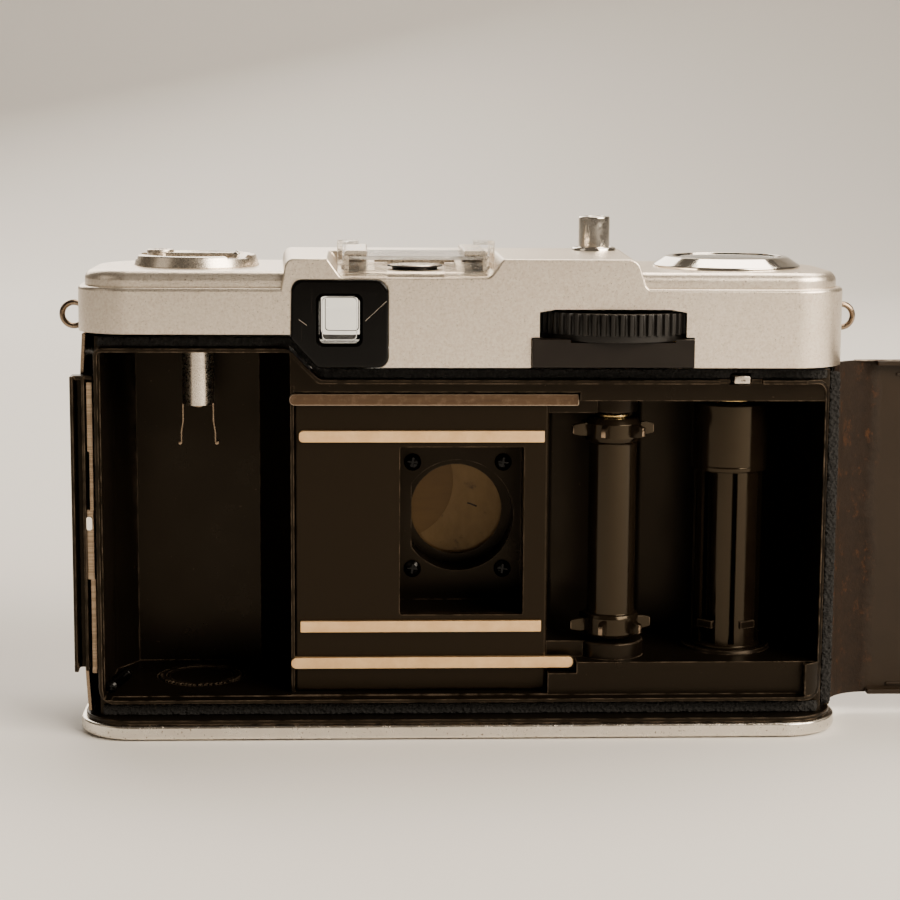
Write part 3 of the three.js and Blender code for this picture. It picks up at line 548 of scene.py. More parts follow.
def paint(n, dark, light, worn, sheen_low, sheen_high, specks=0.74):
    """Black enamel with a fine orange peel, dust specks and edges rubbed through to brown."""
    cloud = n.noise(120, 5, 0.6)
    peel = n.noise(1500, 2)
    dust = n.ramp(n.noise(1900, 2), specks, specks + 0.05)
    wear = n.math("MULTIPLY", n.worn_edges(0.00025), n.ramp(n.noise(500, 5, 0.7), 0.4, 0.62))
    enamel = n.mix(cloud, dark, light)
    dusty = n.mix(n.math("MULTIPLY", dust, 0.35), enamel, rgb(0.11, 0.08, 0.055))
    n.look(base_color=n.mix(wear, dusty, worn), specular_ior_level=0.16)
    # Painted reflection: the warm specular tint, and the warm cast of the enamel's dark tones, stand in for a
    # warm backdrop mirrored in the paint.
    n.look(specular_tint=rgb(1.0, 0.80, 0.58), roughness=n.ramp(cloud, 0.3, 0.7, sheen_low, sheen_high))
    n.bump(peel, 0.00002, 0.25)


@material("black_paint")
def casting_paint(n):
    paint(n, rgb(0.0022, 0.0015, 0.0009), rgb(0.0045, 0.0030, 0.0018), rgb(0.12, 0.088, 0.06), 0.26, 0.38)


@material("black_paint")
def gate_paint(n):
    dark, light = rgb(0.0040, 0.0026, 0.0014), rgb(0.0065, 0.0042, 0.0022)
    paint(n, dark, light, rgb(0.09, 0.064, 0.042), 0.28, 0.36, 0.78)


@material("black_gloss")
def black_gloss(n):
    haze = n.noise(300, 4)
    scratch = n.ramp(n.noise(2600, 3, 0.6, (1, 1, 0.06)), 0.66, 0.75)
    n.tones(scratch, rgb(0.0010, 0.0008, 0.0006), rgb(0.006, 0.0045, 0.0035))
    n.look(roughness=n.ramp(haze, 0.3, 0.7, 0.10, 0.2), specular_ior_level=0.14)


@material("black_gloss")
def spool_gloss(n):
    haze = n.noise(260, 4)
    n.tones(haze, rgb(0.0035, 0.0022, 0.0012), rgb(0.009, 0.006, 0.0035), specular_ior_level=0.30)
    # Painted reflection: the warm specular tint stands in for a warm backdrop mirrored in the black gloss.
    n.look(specular_tint=rgb(1.0, 0.80, 0.55), roughness=n.ramp(haze, 0.3, 0.7, 0.12, 0.24))
    n.bump(n.noise(1200, 3, 0.5, (1, 1, 0.2)), 0.00002, 0.2)


@material("black_plastic")
def black_plastic(n):
    grain = n.noise(2600, 3)
    dust = n.ramp(n.noise(1500, 3), 0.66, 0.74)
    n.tones(dust, rgb(0.0045, 0.0035, 0.0025), rgb(0.030, 0.023, 0.017), specular_ior_level=0.3)
    n.rough(grain, 0.36, 0.52)
    n.bump(grain, 0.00003, 0.35)


@material("black_plastic")
def brown_plastic(n):
    smear = n.noise(210, 5, 0.65)
    n.tones(smear, rgb(0.0030, 0.0018, 0.0010), rgb(0.0085, 0.0052, 0.003), specular_ior_level=0.22)
    n.rough(smear, 0.34, 0.5)
    n.bump(n.noise(3000, 2), 0.00002, 0.3)


@material("leatherette")
def leatherette(n):
    grain = n.cells(1050)
    fine = n.noise(3200, 3)
    n.tones(n.ramp(grain, 0.1, 0.6), rgb(0.004, 0.0034, 0.003), rgb(0.012, 0.010, 0.009))
    n.look(roughness=n.ramp(fine, 0.3, 0.7, 0.42, 0.6), specular_ior_level=0.3)
    n.bump(grain, 0.00022, 0.9)
    n.bump(fine, 0.00003, 0.4)


@material("foam")
def foam(n):
    pores = n.cells(1900)
    fibre = n.ramp(n.noise(2400, 4, 0.75), 0.6, 0.72)
    lint = n.ramp(n.noise(1300, 5, 0.8, (1, 1, 2)), 0.66, 0.74)
    dark = n.mix(fibre, rgb(0.006, 0.0055, 0.005), rgb(0.05, 0.045, 0.04))
    n.tones(lint, dark, rgb(0.17, 0.14, 0.10), roughness=0.95)
    n.bump(pores, 0.0003, 1.0)
    n.bump(fibre, 0.0002, 0.8)


@material("glass")
def clear_glass(n):
    smear = n.noise(240, 3)
    n.look(base_color=rgb(0.97, 0.98, 0.96), transmission_weight=1.0, ior=1.46)
    n.rough(smear, 0.0, 0.03, 0.4, 0.8)


@material("glass")
def coated_glass(n):
    tint = n.add("ShaderNodeLayerWeight", {"Blend": 0.4}).outputs["Facing"]
    n.tones(tint, rgb(0.86, 0.83, 0.97), rgb(0.97, 0.90, 0.78), transmission_weight=1.0, ior=1.5)
    n.rough(n.noise(200, 3), 0.0, 0.04, 0.5, 0.9)


@material("glass")
def window_glass(n):
    n.look(base_color=rgb(0.92, 0.93, 0.90), transmission_weight=1.0, ior=1.47)
    n.rough(n.noise(300, 3), 0.02, 0.09, 0.4, 0.8)


@material("clear_plastic")
def clear_plastic(n):
    scuffs = n.ramp(n.noise(1900, 5, 0.8, (0.15, 1, 1)), 0.54, 0.66)
    cloud = n.noise(500, 4)
    n.tones(scuffs, rgb(0.97, 0.95, 0.91), rgb(0.80, 0.74, 0.66))
    n.look(transmission_weight=0.97, ior=1.40, roughness=n.ramp(cloud, 0.3, 0.7, 0.02, 0.10))
    n.bump(scuffs, 0.00003, 0.5)


@material("cell")
def light_cell(n):
    bands = n.noise(260, 3, 0.5, (1, 1, 1), 0.4)
    n.tones(bands, rgb(0.035, 0.022, 0.045), rgb(0.085, 0.055, 0.075), metallic=0.55)
    n.rough(bands, 0.2, 0.34)


@material("dial")
def dial_black(n):
    grain = n.noise(2200, 3)
    n.tones(grain, rgb(0.012, 0.012, 0.012), rgb(0.03, 0.03, 0.028))
    n.rough(grain, 0.5, 0.62)


@material("dial")
def dial_white(n):
    n.tones(n.noise(900, 3), rgb(0.74, 0.72, 0.66), rgb(0.84, 0.82, 0.76), roughness=0.55)


@material("black_paint")
def door_paint(n):
    """Enamel that rust has crept into from the hinge outwards."""
    across = n.axis("X")
    cloud = n.noise(150, 6, 0.7)
    near_hinge = n.ramp(n.math("ADD", across, n.math("MULTIPLY", cloud, 0.004)), 0.0630, 0.0612)
    mottle = n.noise(900, 6, 0.75)
    dust = n.math("MULTIPLY", n.ramp(n.noise(620, 7, 0.8, (1, 1, 0.6)), 0.55, 0.68), near_hinge)
    clean = n.mix(cloud, rgb(0.014, 0.009, 0.005), rgb(0.025, 0.016, 0.009))
    crusted = n.mix(mottle, rgb(0.003, 0.0018, 0.001), rgb(0.022, 0.012, 0.006))
    painted = n.mix(near_hinge, clean, crusted)
    n.tones(n.math("MULTIPLY", dust, 0.3), painted, rgb(0.16, 0.055, 0.012), specular_ior_level=0.18)
    n.rough(near_hinge, 0.34, 0.78, 0.0, 1.0)
    n.bump(n.math("MULTIPLY", mottle, near_hinge), 0.0002, 0.8)
    n.bump(n.noise(1600, 2), 0.00002, 0.25)


@material("steel")
def bare_edge(n):
    """The door's upper edge, where the enamel has flaked off."""
    flake = n.ramp(n.noise(260, 6, 0.7), 0.42, 0.55)
    metal = n.mix(n.noise(1400, 5, 0.7), rgb(0.16, 0.12, 0.09), rgb(0.42, 0.37, 0.31))
    n.look(base_color=n.mix(flake, rgb(0.05, 0.03, 0.02), metal))
    n.look(metallic=0.55, roughness=0.55)
    n.bump(flake, 0.00006, 0.8)


@material("brass")
def mossy_brass(n):
    spots = n.noise(700, 6, 0.75)
    metal = n.mix(spots, rgb(0.20, 0.19, 0.05), rgb(0.44, 0.38, 0.10))
    n.tones(n.ramp(n.noise(300, 5), 0.5, 0.62), metal, rgb(0.20, 0.10, 0.03))
    n.look(metallic=0.6, roughness=0.5)


# ------------------------------------------------------------------ finishing
def piece(obj, name, look, *nodes, body="camera", smooth=32):
    """Names, scales, smooths and paints a shape and puts it on its CAD body, in place of the CAD nodes."""
    obj.name = name
    obj.data.name = name
    obj.data.transform(Matrix.Scale(MM, 4))
    paint_material, slot_name = MATERIALS[look]
    obj.data.materials.clear()
    obj.data.materials.append(paint_material)
    obj.data.shade_smooth()
    obj.data.set_sharp_from_angle(angle=math.radians(smooth))
    weighted = obj.modifiers.new("weighted", "WEIGHTED_NORMAL")
    weighted.keep_sharp = True
    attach(obj, body)
    if nodes:
        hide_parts(*nodes)
    return obj


def repaint(node, look):
    """Gives a CAD node that stays a finished material."""
    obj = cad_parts[node]
    obj.data.materials.clear()
    obj.data.materials.append(MATERIALS[look][0])


# ------------------------------------------------------------------ top cover
BEZEL = [(-20.05, 52.2), (-10.5, 52.2), (-10.5, 64.0), (-23.5, 64.0), (-23.5, 56.05)]
WHEEL_LEFT, WHEEL_RIGHT, WHEEL_LOW, WHEEL_HIGH = 10.2, 30.4, 56.2, 60.1
SHOE_X, SHOE_FLOOR, SHOE_HALF = -6.7, 64.35, 9.8
FINDER_FRONT = (-22.2, -11.6, 52.9, 62.1)


def bezel_outline(inset=0.0):
    """The viewfinder's surround: five corners, and sides that bow outwards a little."""
    x = [p[0] for p in BEZEL]
    pull = ((0.6, 1), (-1, 1), (-1, -1), (1, -1), (1, 0.4))
    shrunk = [(px + inset * dx, pz + inset * dz) for (px, pz), (dx, dz) in zip(BEZEL, pull)]
    corners = rounded(shrunk, [0.8, 1.3, 1.5, 1.2, 0.8], 4)
    middle_x, middle_z = (min(x) + max(x)) / 2, 58.1
    half_x, half_z = (max(x) - min(x)) / 2, 5.9
    out = []
    for corner in corners:
        u, v = (corner.x - middle_x) / half_x, (corner.y - middle_z) / half_z
        out.append((corner.x + 0.22 * u * (1 - v * v), corner.y + 0.16 * v * (1 - u * u)))
    return out


def hump_profile(y, spread):
    """The hump seen from behind, stretched sideways by spread."""
    corners = [
        (-25.05, 60.0), (25.3, 60.0), (25.2, LEDGE), (24.75, LEDGE + 0.3),
        (23.6, HUMP_TOP), (-24.3, HUMP_TOP), (-25.0, LEDGE),
    ]
    wide = [(x * spread, z) for x, z in corners]
    return [place(p, y, "back") for p in rounded(wide, [0, 0, 0, 0.8, 1.6, 1.2, 0], 6)]


def hump():
    body = loft([hump_profile(BODY_REAR, 1.0), hump_profile(24.2, 1.045)])
    shoe_well = [(-19.8, 68.5), (-16.9, SHOE_FLOOR), (3.4, SHOE_FLOOR), (6.3, 68.5)]
    cut(body, prism(rounded(shoe_well, [0, 1.2, 1.2, 0]), -FAR, 15.8, "back"))
    return bevelled(body, 0.75, 4, 40)


def top_cover():
    """A drawn shell: a skirt with a ledge, a raised deck and the hump in the middle."""
    shell = slab(body_outline, COVER_EDGE, LEDGE, 0.55)
    fuse(shell, slab(lambda inset: body_outline(0.95 + inset), 58.0, DECK, 1.35, steps=7))
    fuse(shell, hump())
    cut(shell, prism(body_outline(1.0), 0, 62.0))
    left_notch = [
        (-60, 50), (STEP_LOW + 0.6, 50), (STEP_LOW + 0.6, COVER_EDGE),
        (STEP_HIGH + 1.2, COVER_LEFT_EDGE), (-60, COVER_LEFT_EDGE),
    ]
    cut(shell, prism(left_notch, -FAR, 9.4, "back"))
    cut(shell, prism(bezel_outline(-0.08), -FAR, -3.6, "back"))
    window = [
        (WHEEL_LEFT, WHEEL_LOW - 1), (WHEEL_RIGHT, WHEEL_LOW - 1), (WHEEL_RIGHT, WHEEL_HIGH - 0.4),
        (WHEEL_RIGHT - 2.2, WHEEL_HIGH), (WHEEL_LEFT + 2.2, WHEEL_HIGH), (WHEEL_LEFT, WHEEL_HIGH - 0.4),
    ]
    cut(shell, prism(window, -FAR, -3.5, "back"))
    cut(shell, block(9.05, 31.55, -FAR, -3.5, 50, WHEEL_LOW + 0.08))
    cut(shell, tile(*FINDER_FRONT, 0.8, 22.0, FAR))
    for node, radius in (("rewind_knob", 2.6), ("counter_ring", 8.5), ("shutter_button", 2.6)):
        hole = centre(node)
        cut(shell, rod(hole.x, hole.y, radius, 58, FAR))
    piece(shell, "cover_shell", "satin_silver", "top_cover")


# ------------------------------------------------------------------ viewfinder
EYEPIECE = (-19.85, -14.35, 55.4, 61.8)
FINDER_INSIDE = (-21.4, -12.4, 53.2, 61.3)


def frame_ring(x0, x1, z0, z1, y, radius, grow=0.0):
    outline = rounded(rectangle(x0 - grow, x1 + grow, z0 - grow, z1 + grow), radius)
    return [(p.x, y, p.y) for p in outline]


def viewfinder():
    plate = slab(bezel_outline, 0, 1.5, 0.0, 0.35, plane="back")
    moved(plate, (0, -5.15, 0))
    fuse(plate, loft([frame_ring(*EYEPIECE, -3.7, 0.7, 0.3), frame_ring(*FINDER_INSIDE, 22.4, 0.7, 0.35)]))
    mouth = ((-6.0, 1.0, 1.1), (-5.1, 0.9, 0.38), (-4.5, 0.8, 0.0), (-2.8, 0.7, 0.0))
    rings = [frame_ring(*EYEPIECE, *step) for step in mouth]
    cut(plate, loft(rings + [frame_ring(*FINDER_INSIDE, 22.6, 0.7)]))
    piece(plate, "finder_surround", "black_gloss", "viewfinder_bezel")
    scratches()
    low, high = extent("eyepiece_glass")
    lens = slab(
        shrinking(low.x, high.x, low.z, high.z, 0.6), low.y, high.y, 0.12, 0.12, steps=2, plane="back",
    )
    piece(lens, "eyepiece_lens", "clear_glass", "eyepiece_glass")
    x0, x1, z0, z1 = FINDER_FRONT
    room = 0.1
    pane = slab(
        shrinking(x0 + room, x1 - room, z0 + room, z1 - room, 0.7),
        23.4, 24.4, 0.15, 0.15, steps=2, plane="back",
    )
    piece(pane, "finder_pane", "clear_glass", "finder_front_glass")
    mask = cut(tile(-21.2, -12.5, 53.4, 61.2, 0.5, 21.5, 21.7), tile(-20.0, -13.7, 54.2, 60.4, 0.6, 20, 23))
    piece(mask, "finder_mask", "brown_plastic")
    line = tile(-19.4, -14.4, 54.9, 59.9, 0.5, 19.9, 20.0)
    cut(line, tile(-19.28, -14.52, 55.02, 59.78, 0.45, 19, 21))
    piece(line, "finder_frame_line", "brown_plastic")


def scratches():
    """Two light hairlines across the corner of the viewfinder's surround."""
    for name, start, end in (("long", (-13.6, 58.5), (-10.7, 61.2)), ("short", (-22.6, 58.7), (-21.5, 57.9))):
        a, b = Vector(start), Vector(end)
        side = Vector((b.y - a.y, a.x - b.x)).normalized() * 0.025
        hair = prism([a - side, b - side, b + side, a + side], -5.165, -5.12, "back")
        piece(hair, "surround_scratch_" + name, "dull_steel")


# ------------------------------------------------------------------ accessory shoe
def accessory_shoe():
    left, right = SHOE_X - SHOE_HALF, SHOE_X + SHOE_HALF
    floor, top, wall, lip = SHOE_FLOOR + 0.06, 67.9, 0.65, 3.2
    bent = rounded([
        (left, floor), (right, floor), (right, top), (right - lip, top), (right - lip, top - wall),
        (right - wall, top - wall), (right - wall, floor + 0.6), (left + wall, floor + 0.6),
        (left + wall, top - wall), (left + lip, top - wall), (left + lip, top), (left, top),
    ], [0.1, 0.1, 0.5, 0.2, 0.2, 0.1, 0.1, 0.1, 0.1, 0.2, 0.2, 0.5], 3)
    shoe = bevelled(prism(bent, -2.4, 15.0, "back"), 0.08, 2, 50)
    fuse(shoe, block(left + 0.2, right - 0.2, 14.2, 15.0, floor + 0.1, 67.05, 0.1))
    upper, thick = ((-2.0, 65.2), (2.0, 65.9), (8.0, 66.5), (13.0, 65.6)), 0.2
    under = [(y, z - thick) for y, z in upper[::-1]]
    spring = rounded([*upper, *under], [0.05, 1, 3, 0.05, 0.05, 3, 1, 0.05], 4)
    for offset in (-7.0, 5.6):
        fuse(shoe, prism(spring, SHOE_X + offset, SHOE_X + offset + 1.4, "side"))
    piece(shoe, "shoe_rails", "turned_silver", "hot_shoe")
    low, high = extent("shoe_contact")
    at = ((low.x + high.x) / 2, (low.y + high.y) / 2, 0)
    brim = high.z - 0.1
    pad = [(0, low.z), (3.15, low.z), (3.15, low.z + 0.75), (3.85, high.z - 0.3), (3.85, brim), (0, brim)]
    piece(turned(pad, 0.05, at, 64, 2), "shoe_contact_pad", "black_plastic", "shoe_contact")
    cap = [(0, high.z - 0.14), (3.6, high.z - 0.14), (3.4, high.z), (0, high.z + 0.04)]
    piece(turned(cap, 0.04, at, 64, 2), "shoe_contact_face", "turned_silver")


def shoe_guard():
    """The clear cover that slides into the shoe from behind."""
    low, high = extent("shoe_cover")
    cover = block(low.x, high.x, low.y, low.y + 0.8, low.z, 66.4, 0.15)
    for side in (-1, 1):
        outer = SHOE_X + side * (high.x - low.x) / 2
        x0, x1 = sorted((outer, outer - side * 0.75))
        fuse(cover, block(x0, x1, low.y + 0.01, low.y + 3.5, low.z + 0.01, high.z - 0.01, 0.12))
        x0, x1 = sorted((outer - side * 0.02, outer - side * 2.9))
        fuse(cover, block(x0, x1, low.y + 0.02, low.y + 3.4, high.z - 0.5, high.z, 0.12))
        x0, x1 = sorted((outer - side * 0.5, outer - side * 3.0))
        fuse(cover, block(x0, x1, low.y + 0.5, high.y - 0.05, 65.3, 65.9, 0.12))
    cut(cover, block(SHOE_X - 3.9, SHOE_X + 3.9, low.y - 1, low.y + 2, 0, FAR))
    fuse(cover, block(low.x + 0.6, high.x - 0.6, low.y + 0.6, high.y - 0.1, 66.7, 67.25, 0.08))
    piece(cover, "shoe_guard_clear", "clear_plastic", "shoe_cover", body="shoe_guard")


# ------------------------------------------------------------------ rewind knob, crank and fork
def rewind():
    axis = centre("rewind_fork")
    x, y = axis.x, centre("rewind_knob").y
    low, high = extent("rewind_knob")
    outer = (high.x - low.x) / 2
    knob = turned([
        (0, low.z), (outer, low.z), (outer - 0.5, high.z - 0.5), (outer - 1.1, high.z - 0.4),
        (outer - 1.7, high.z - 0.9), (0, high.z - 0.9),
    ], [0, 0.15, 0.3, 0.25, 0.3, 0], (x, y, 0), 128)
    notch = block(outer - 3.0, outer + 2, -2.6, 2.6, high.z - 0.85, high.z + 2)
    cut(knob, moved(notch, (x, y, 0), (0, 0, -38)))
    cut(knob, moved(block(-outer - 2, outer - 4, -2.3, 2.3, high.z - 1.12, high.z + 2), (x, y, 0)))
    piece(knob, "rewind_cap", "turned_silver", "rewind_knob", body="rewind_knob_set")
    handle()
    foot, top = (corner.z for corner in extent("rewind_sleeve"))
    sleeve = lathe(tube_profile(1.15, 2.25, foot, top, 0.12), (x, y, 0), "Z", 64)
    piece(sleeve, "rewind_tube", "turned_silver", "rewind_sleeve", body="rewind_shaft")
    fork(x, y)


def handle():
    low, high = extent("rewind_crank")
    y = (low.y + high.y) / 2
    pivot_x = high.x
    end_x = low.x + 1.9
    outline = [(end_x, y - 1.7), (pivot_x, y - 1.2), (pivot_x, y + 1.2), (end_x, y + 1.7)]
    arm = bevelled(prism(rounded(outline, 0.4), low.z, low.z + 0.6), 0.12)
    fuse(arm, rod(end_x, y, 1.9, low.z, high.z, 0.2))
    cut(arm, rod(end_x, y, 1.1, high.z - 0.25, high.z + 1, 0.05))
    piece(arm, "rewind_handle_arm", "turned_silver", "rewind_crank", body="rewind_handle")
    for name, near, far in (("rear", -2.1, -1.35), ("front", 1.35, 2.1)):
        stub = peg(pivot_x, low.z + 0.35, 0.42, y + near, y + far, 0.1, 24)
        piece(stub, "rewind_pivot_" + name, "bright_chrome", body="rewind_knob_set")


def fork(x, y):
    """Two thin prongs with curled ends on a rod that runs up through the tube."""
    low, high = extent("rewind_fork")
    prongs = rod(x, y, 1.0, 44.8, high.z)
    fuse(prongs, block(x - 2.2, x + 2.2, y - 0.9, y + 0.9, 45.1, 45.4, 0.06))
    for side in (-1, 1):
        outer = [(2.24, 45.3), (2.24, 42.8), (2.5, 41.2), (2.5, low.z + 0.5)]
        inner = [(2.34, low.z + 0.5), (2.34, 41.2), (2.08, 42.8), (2.08, 45.3)]
        outline = [(x + side * px, pz) for px, pz in rounded(outer + inner, [0, 2, 2, 0, 0, 2, 2, 0], 3)]
        tip = (x + side * 2.62, y, low.z + 0.36)
        curl = turned([(0, -0.7), (0.3, -0.7), (0.3, 0.7), (0, 0.7)], 0.1, tip, 20, 2, "Y")
        fuse(prongs, prism(outline, y - 0.7, y + 0.7, "back"), curl)
    piece(prongs, "rewind_fork_prongs", "sooty_steel", "rewind_fork", body="rewind_knob_set")


# ------------------------------------------------------------------ frame counter
def frame_counter():
    axis = centre("counter_ring")
    x, y = axis.x, axis.y
    low, high = extent("counter_ring")
    outer = (high.x - low.x) / 2
    bezel = turned([
        (7.7, low.z - 0.4), (outer, low.z - 0.4), (outer, low.z + 0.45),
        (outer - 1.75, high.z - 0.1), (outer - 2.2, high.z), (7.7, high.z),
    ], [0.05, 0.05, 0.25, 0.3, 0.15, 0.1], (x, y, 0), 160, closed=True)
    piece(bezel, "counter_bezel", "bright_chrome", "counter_ring")
    domed = [(0, 65.6), (7.62, 65.6), (7.62, 66.35), (6.6, 66.55), (0, 66.62)]
    piece(turned(domed, 0.1, (x, y, 0), arc=3), "counter_pane", "clear_glass", "counter_glass")
    dial = lathe(disc_profile(8.0, 63.4, 64.1, 0.1), (x, y, 0), "Z", 96)
    fuse(dial, rod(x, y, 1.2, 61.0, 63.6))
    piece(dial, "counter_disc", "dial_black", "counter_dial", body="counter")
    ticks = None
    for i in range(72):
        long_tick = i % 6 == 0
        tick = block(5.9 if long_tick else 6.7, 7.5, -0.09, 0.09, 64.08, 64.13)
        moved(tick, (x, y, 0), (0, 0, 5 * i))
        ticks = joined(ticks, tick) if ticks else tick
    piece(ticks, "counter_ticks", "dial_white", body="counter")
    for i in range(12):
        numeral(str(i * 6), 4.9, i * 30, x, y)
    pointer = prism([(0, -0.3), (1.6, 0), (0, 0.3)], 64.5, 64.7)
    moved(pointer, (x, y - 6.6, 0), (0, 0, 90))
    piece(pointer, "counter_pointer", "dial_white")


def numeral(text, radius, angle, x, y):
    """A number on the counter dial, turned to face outwards."""
    curve = bpy.data.curves.new("numeral", "FONT")
    curve.body = text
    curve.size = 1.9
    curve.align_x = "CENTER"
    curve.align_y = "CENTER"
    curve.extrude = 0.03
    curve.resolution_u = 3
    drawn = bpy.data.objects.new("numeral", curve)
    bpy.context.scene.collection.objects.link(drawn)
    bpy.context.view_layer.update()
    mesh = bpy.data.meshes.new_from_object(drawn.evaluated_get(bpy.context.evaluated_depsgraph_get()))
    bpy.data.objects.remove(drawn)
    flat = bpy.data.objects.new("numeral_mesh", mesh)
    bpy.context.scene.collection.objects.link(flat)
    px, py = polar(radius, math.radians(angle))
    moved(flat, (x + px, y + py, 64.11), (0, 0, angle - 90))
    piece(flat, "counter_numeral_" + text, "dial_white", body="counter")


# ------------------------------------------------------------------ shutter button
def shutter_release():
    axis = centre("shutter_button")
    x, y = axis.x, axis.y
    low, high = extent("shutter_button")
    button = turned([
        (0, low.z), (2.3, low.z), (2.3, high.z - 0.05), (1.35, high.z), (1.15, high.z - 0.6),
        (0.45, high.z - 1.0), (0, high.z - 1.0),
    ], [0, 0.1, 0.3, 0.12, 0.1, 0.1, 0], (x, y, 0))
    piece(button, "release_button", "bright_chrome", "shutter_button", body="release")
    base = HUMP_TOP - 0.3
    profile = [(2.45, base), (3.3, base), (3.2, base + 0.75), (2.45, base + 0.85)]
    collar = turned(profile, [0, 0.05, 0.3, 0.1], (x, y, 0), closed=True)
    piece(collar, "release_collar", "bright_chrome", "button_collar")


# ------------------------------------------------------------------ strap lugs
def strap_lugs():
    for name, side in (("left", -1), ("right", 1)):
        low, high = extent("strap_lug_" + name)
        y, z = (low.y + high.y) / 2, (low.z + high.z) / 2
        wire, radius = 0.42, (high.z - low.z) / 2 - 0.4
        middle_x = (high.x - 2.06) if side > 0 else (low.x + 2.06)
        rings = []
        for i in range(40):
            angle = 2 * math.pi * i / 40
            out = Vector((math.cos(angle), 0, math.sin(angle)))
            spot = Vector((middle_x, y, z)) + out * radius
            around = [2 * math.pi * k / 12 for k in range(12)]
            along = Vector((0, wire * 1.25, 0))
            rings.append([spot + out * wire * math.cos(a) + along * math.sin(a) for a in around])
        eye = loft(rings, closed=True)
        inner = BODY_HALF + 0.02
        keep = block(inner, FAR, -50, 50, 0, FAR) if side > 0 else block(-FAR, -inner, -50, 50, 0, FAR)
        common(eye, keep)
        foot_x = sorted((side * inner, side * (inner + 0.35)))
        foot = prism(rounded(rectangle(y - 1.5, y + 1.5, z - 2.1, z + 2.1), 1.2), *foot_x, "side")
        fuse(eye, bevelled(foot, 0.1))
        piece(eye, "strap_eye_" + name, "sooty_steel", "strap_lug_" + name)


# ------------------------------------------------------------------ winding wheel
def winding_wheel():
    low, high = extent("thumb_wheel")
    x, y = (low.x + high.x) / 2, (low.y + high.y) / 2
    radius = (high.x - low.x) / 2
    ribs = 58
    wheel = prism(ribbed_outline(radius, 0.5, ribs, 0.42), low.z, high.z)
    bevelled(wheel, 0.12, 2, 50)
    dish = [(0, high.z - 0.35), (radius - 1.4, high.z - 0.35), (radius - 1.1, high.z + 1), (0, high.z + 1)]
    cut(wheel, turned(dish, 0.1, arc=2))
    # Painted shade: a dark disc under the wheel hides the brass gear below it and stands in for the shade in
    # the gap under the wheel.
    fuse(wheel, lathe(disc_profile(radius - 0.5, low.z - 0.9, low.z + 0.2, 0.1), (0, 0, 0), "Z", 96))
    cut(wheel, rod(0, 0, 1.6, 0, FAR))
    moved(wheel, (x, y, 0))
    piece(wheel, "winding_wheel", "black_plastic", "thumb_wheel", body="winder")
    low, high = extent("wheel_guard")
    guard = block(low.x - 0.05, high.x + 0.05, low.y, high.y, low.z, high.z, 0.18)
    hollow = lathe(disc_profile(radius + 0.5, high.z - 0.5, high.z + 3, 0.1), (x, y, 0), "Z", 96)
    cut(guard, hollow)
    piece(guard, "wheel_block", "brown_plastic", "wheel_guard")


# ------------------------------------------------------------------ body casting
GATE_LEFT, GATE_RIGHT, GATE_LOW, GATE_HIGH, GATE_FACE, GATE_BACK = -23.4, 12.1, 5.5, 48.2, 0.6, 2.1
CHAMBER_LEFT, CHAMBER_RIGHT, CHAMBER_FRONT, CHAMBER_FLOOR = -50.0, -23.95, 19.8, 5.3
TAKEUP_LEFT, TAKEUP_LOW, TAKEUP_HIGH = 12.2, 9.9, 47.1
TUNNEL_FLOOR, SHUTTER_REAR = 13.5, 18.9
TONGUE_RIGHT = 16.2
WIND_Y = 4.6


def casting_plan():
    return rounded(rectangle(-52.2, 52.2, CASTING_REAR, 23.8), [2.5, 2.5, 12, 12], 12)


def cassette_chamber():
    plan = [
        (CHAMBER_LEFT, -FAR), (CHAMBER_RIGHT, -FAR), (CHAMBER_RIGHT, 14.4), (-29.0, CHAMBER_FRONT - 0.5),
        (-29.0, CHAMBER_FRONT), (-47.3, CHAMBER_FRONT), (-47.3, CHAMBER_FRONT - 0.5), (CHAMBER_LEFT, 14.4),
    ]
    return prism(rounded(plan, [0, 0, 2, 0, 0.15, 0.15, 0, 2], 4), CHAMBER_FLOOR, RIM_LEFT_TOP - 0.06)


def takeup_chamber():
    right = RIM_RIGHT - 0.05
    plan = [
        (TAKEUP_LEFT, -FAR), (right, -FAR), (right, 12.0), (47.0, 17.4), (40.5, 20.0),
        (26.0, 20.0), (26.0, 16.0), (TAKEUP_LEFT, 16.0),
    ]
    return prism(rounded(plan, [0, 0, 6, 6, 3, 2, 0.5, 2], 6), TAKEUP_LOW, TAKEUP_HIGH)


def door_sweep():
    """Everything at the right hand corner that would stand in the way of the closing door."""
    room = DOOR_BEND - (DOOR_INSIDE - DOOR_OUTSIDE) - 0.12
    corner_x, corner_y = DOOR_RIGHT - DOOR_BEND, DOOR_OUTSIDE + DOOR_BEND
    sweep = block(corner_x, FAR, -FAR, corner_y, 2.7, DOOR_TOP + 0.2)
    return cut(sweep, rod(corner_x, corner_y, room, 0, FAR, 0.0, 128))


def shaft_boss(radius, low, high):
    """A boss round the sprocket's shaft that runs into the wall beside the gate."""
    x, y = centre("sprocket").x, WIND_Y
    side = block(TAKEUP_LEFT - 0.5, x, GATE_BACK + 0.2, y + radius, low, high)
    return fuse(side, rod(x, y, radius, low, high, 0.25, 64))


